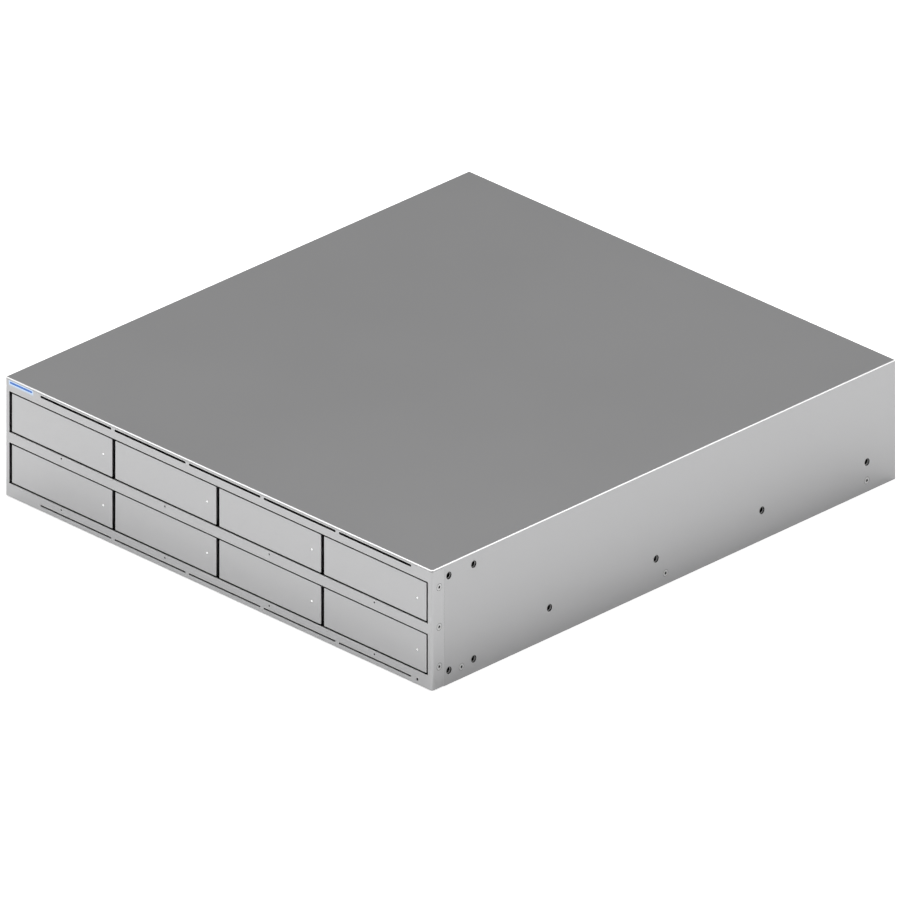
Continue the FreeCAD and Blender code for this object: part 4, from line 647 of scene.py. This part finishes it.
blue_lens = lit_lens("blue_lens", (0.03, 0.08, 0.3), (0.07, 0.28, 0.88), 0.52)
dress(blue_lens, "status_light")
low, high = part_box("status_light")
middle, half = (low + high) / 2, (high - low) / 2
start, shader = Socket(fascia_paint.node_tree), fascia_paint.node_tree.nodes["Principled BSDF"]
beside = abs(along(start, "X") - middle.x) - half.x
above = abs(along(start, "Z") - middle.z) - half.z
# Painted glow: the fascia paint itself gives off blue light near the bar.
spill = fade(start, start.math("MAXIMUM", beside, above), 0.0022, 0.0)
link(start, shader, Emission_Strength=1.0, Emission_Color=spill.blend((0.0, 0.0, 0.0), (0.07, 0.22, 0.44)))

# Drive light pipes. Moulded rods of clear acrylic that run through the cage from the drive backplane and
# end behind eight pinholes of the fascia. They are unlit, so they look grey, with faint flow lines.
acrylic, start, shader = new_material("acrylic", Coat_Weight=0.6, IOR=1.49)
flow = noise(start, 300.0, 2.0, (1.0, 0.05, 1.0))
link(start, shader,
     Base_Color=flow.blend((0.48, 0.49, 0.49), (0.56, 0.57, 0.57)),
     Roughness=0.2 + flow * 0.2)
dress(acrylic, "drive_light_pipes")


# Top cover. One sheet of steel, folded down both sides and rolled down at the front, in satin silver paint
# with a fine metal flake, and with a painted highlight over the bends. Three countersunk screws along each
# side hold it.
def painted_bend_highlight(start, colour):
    """A painted highlight where the sheet is folded: the only faces neither level nor upright."""
    level = along(start, "Z", "Normal")
    return ((level > 0.35) * (level < 0.96)).blend(colour, (0.97, 0.97, 0.97)), 1.0


cover_silver = (0.565, 0.565, 0.57), (0.595, 0.595, 0.6)
cover_paint = satin_metal("cover_paint", *cover_silver, 0.32, 0.03, refine=painted_bend_highlight)
dress(cover_paint, "top_cover")

# Screws and standoffs. Turned steel, nickel-plated: countersunk screws in the sides and the floor, heads
# at the fans and on the main board, and hexagon standoffs. A ring of painted shade lies along their rims,
# and painted shade darkens their sockets.
nickel, start, shader = new_material("nickel", Metallic=1.0)
grain = noise(start, 1900.0, 3.0)
# Painted shade: a dark ring along the edges of the heads.
painted_rim_shade = (edge_turn(start, 0.0006) > 0.03) * 0.8
plated = painted_rim_shade.blend(grain.blend((0.68, 0.68, 0.68), (0.76, 0.76, 0.76)), (0.2, 0.2, 0.2))
# Painted shade in the sockets and other recesses, from how open the surface lies.
link(start, shader,
     Base_Color=open_light(start, 0.0015, 0.5, 0.85, True).blend((0.01, 0.01, 0.01), plated),
     Roughness=0.34 + (grain - 0.5) * 0.1,
     Normal=soft_edges(start, 0.00015, grain, 0.08, 0.00003))
dress(nickel, "panel_screws", "fan_screws", "board_screws", "board_standoffs")

# Side nuts. Clinch nuts pressed flush into both sides for rack ears and rails, and painted over with the
# cover. Painted shade darkens their threads from the mouth in, apart from a painted highlight on the
# first turn.
nut_paint, start, shader = new_material("nut_paint")
x, y, z = (along(start, axis) for axis in "XYZ")
ear_middle_y, ear_middle_z, ear_half_y, ear_half_z = -0.21016, 0.0442, 0.0127, 0.0342
rail_first, rail_pitch, rail_level = -0.1198, 0.11, 0.02175
mouth_radius, turn_from, turn_to, paint_from = 0.0026, 0.2196, 0.2206, 0.2211
ear_y, ear_z = abs(abs(y - ear_middle_y) - ear_half_y), abs(abs(z - ear_middle_z) - ear_half_z)
rail_y = start.math("PINGPONG", y - rail_first + 5 * rail_pitch, rail_pitch / 2)
rail_z = z - rail_level
near_ear = (ear_y * ear_y + ear_z * ear_z) < mouth_radius ** 2
near_rail = (rail_y * rail_y + rail_z * rail_z) < mouth_radius ** 2
# Painted highlight on the first turn of the thread, left matt.
lit_turn = (abs(x) > turn_from) * (abs(x) < turn_to)
thread = start.math("MAXIMUM", start.math("MAXIMUM", near_ear, near_rail), abs(x) < paint_from) - lit_turn
grain = noise(start, 1400.0, 3.0)
# Painted shade over the threads.
painted_thread_shade = thread.blend(grain.blend(*cover_silver), grain.blend((0.01, 0.01, 0.01), (0.03, 0.03, 0.03)))
link(start, shader,
     Base_Color=lit_turn.blend(painted_thread_shade, grain.blend((0.8, 0.8, 0.8), (0.9, 0.9, 0.9))),
     Metallic=1.0 - lit_turn,
     Roughness=0.32 + thread * 0.15 + lit_turn * 0.3,
     Normal=soft_edges(start, 0.0001, start.math("SINE", x * 7800.0) * thread, 0.4, 0.0002))
dress(nut_paint, "side_nuts")

# Studio floor and light. A white sheet that runs out of view, with painted light just before the fascia and
# painted shade along the right side, which the camera does not see but the case mirrors. Over it are a grey
# room with a bright vault that the cover's bends mirror, and one large softbox hung above and behind the case.
floor_mesh = bpy.data.meshes.new("floor")
shape = bmesh.new()
bmesh.ops.create_grid(shape, x_segments=1, y_segments=1, size=8.0)
shape.to_mesh(floor_mesh)
shape.free()
floor = bpy.data.objects.new("floor", floor_mesh)
bpy.context.scene.collection.objects.link(floor)
floor_paint, start, shader = new_material("floor_paint", Roughness=0.9, Emission_Strength=1.0)
low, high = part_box("front_fascia")
x, y = along(start, "X"), along(start, "Y")
bright_far, bright_near, grey_far, grey_near = 0.03, 0.005, 0.125, 0.03
# Painted light and painted shade on the floor, for every ray but the camera's.
painted_floor_light = (abs(x) < high.x) * fade(start, y, low.y - bright_far, low.y - bright_near)
painted_floor_shade = (x > high.x) * fade(start, x, high.x + grey_far, high.x + grey_near)
sheet = noise(start, 3.0).blend((0.9, 0.9, 0.9), (0.92, 0.92, 0.92))
seen = start.make("ShaderNodeLightPath", output="Is Camera Ray")
link(start, shader,
     Base_Color=seen.blend(painted_floor_shade.blend(sheet, (0.815, 0.815, 0.815)), sheet),
     Emission_Color=seen.blend(painted_floor_light.blend((0.0, 0.0, 0.0), (0.13, 0.13, 0.13)), (0.6, 0.6, 0.6)))
floor_mesh.materials.append(floor_paint)

world = bpy.data.worlds.new("studio")
bpy.context.scene.world = world
world.use_nodes = True
sky = Socket(world.node_tree)
behind = (along(sky, "Y", "Generated") - along(sky, "X", "Generated")) * 0.7071
vault = fade(sky, behind, -0.25, 0.0) * fade(sky, behind, 0.72, 0.5)
room = vault.blend((0.32, 0.32, 0.32), (1.06, 1.06, 1.06))
seen = sky.make("ShaderNodeLightPath", output="Is Camera Ray")
link(sky, world.node_tree.nodes["Background"], Color=seen.blend(room, (1.0, 1.0, 1.0)))

softbox_light = bpy.data.lights.new("softbox", "AREA")
softbox_light.shape = "RECTANGLE"
softbox_light.size, softbox_light.size_y = 3.6, 2.6
softbox_light.energy = 42.0
softbox = bpy.data.objects.new("softbox", softbox_light)
softbox.location = (-0.45, 0.45, 2.6)
softbox.rotation_euler = (0.0, 0.0, math.radians(45.0))
softbox.visible_camera = False
bpy.context.scene.collection.objects.link(softbox)

# Camera. The photograph keeps the case's uprights parallel, as a view camera does: the film stays upright
# while the lens looks down at the case. The tripod's frame gives the camera that lean.
turn, slope = math.radians(45.0), 0.45218
height, distance, aside = 9.7634, 21.532, 0.0004
across = Vector((math.cos(turn), math.sin(turn), 0.0))
ahead = Vector((-math.sin(turn), math.cos(turn), 0.0))
up = Vector((0.0, 0.0, 1.0))
back = (up * slope - ahead).normalized()
eye = up * height - ahead * distance - across * aside
camera_data = bpy.data.cameras.new("camera")
camera_data.lens = 1290.2
camera_data.sensor_width = 36.0
camera_data.clip_end = 60.0
camera = bpy.data.objects.new("camera", camera_data)
tripod = bpy.data.objects.new("tripod", None)
for stand in (camera, tripod):
    bpy.context.scene.collection.objects.link(stand)
camera.parent = tripod
camera.matrix_parent_inverse = Matrix((across, up, back)).transposed().to_4x4()
camera.matrix_parent_inverse.translation = eye
bpy.context.scene.camera = camera
bpy.context.scene.view_settings.view_transform = "Standard"
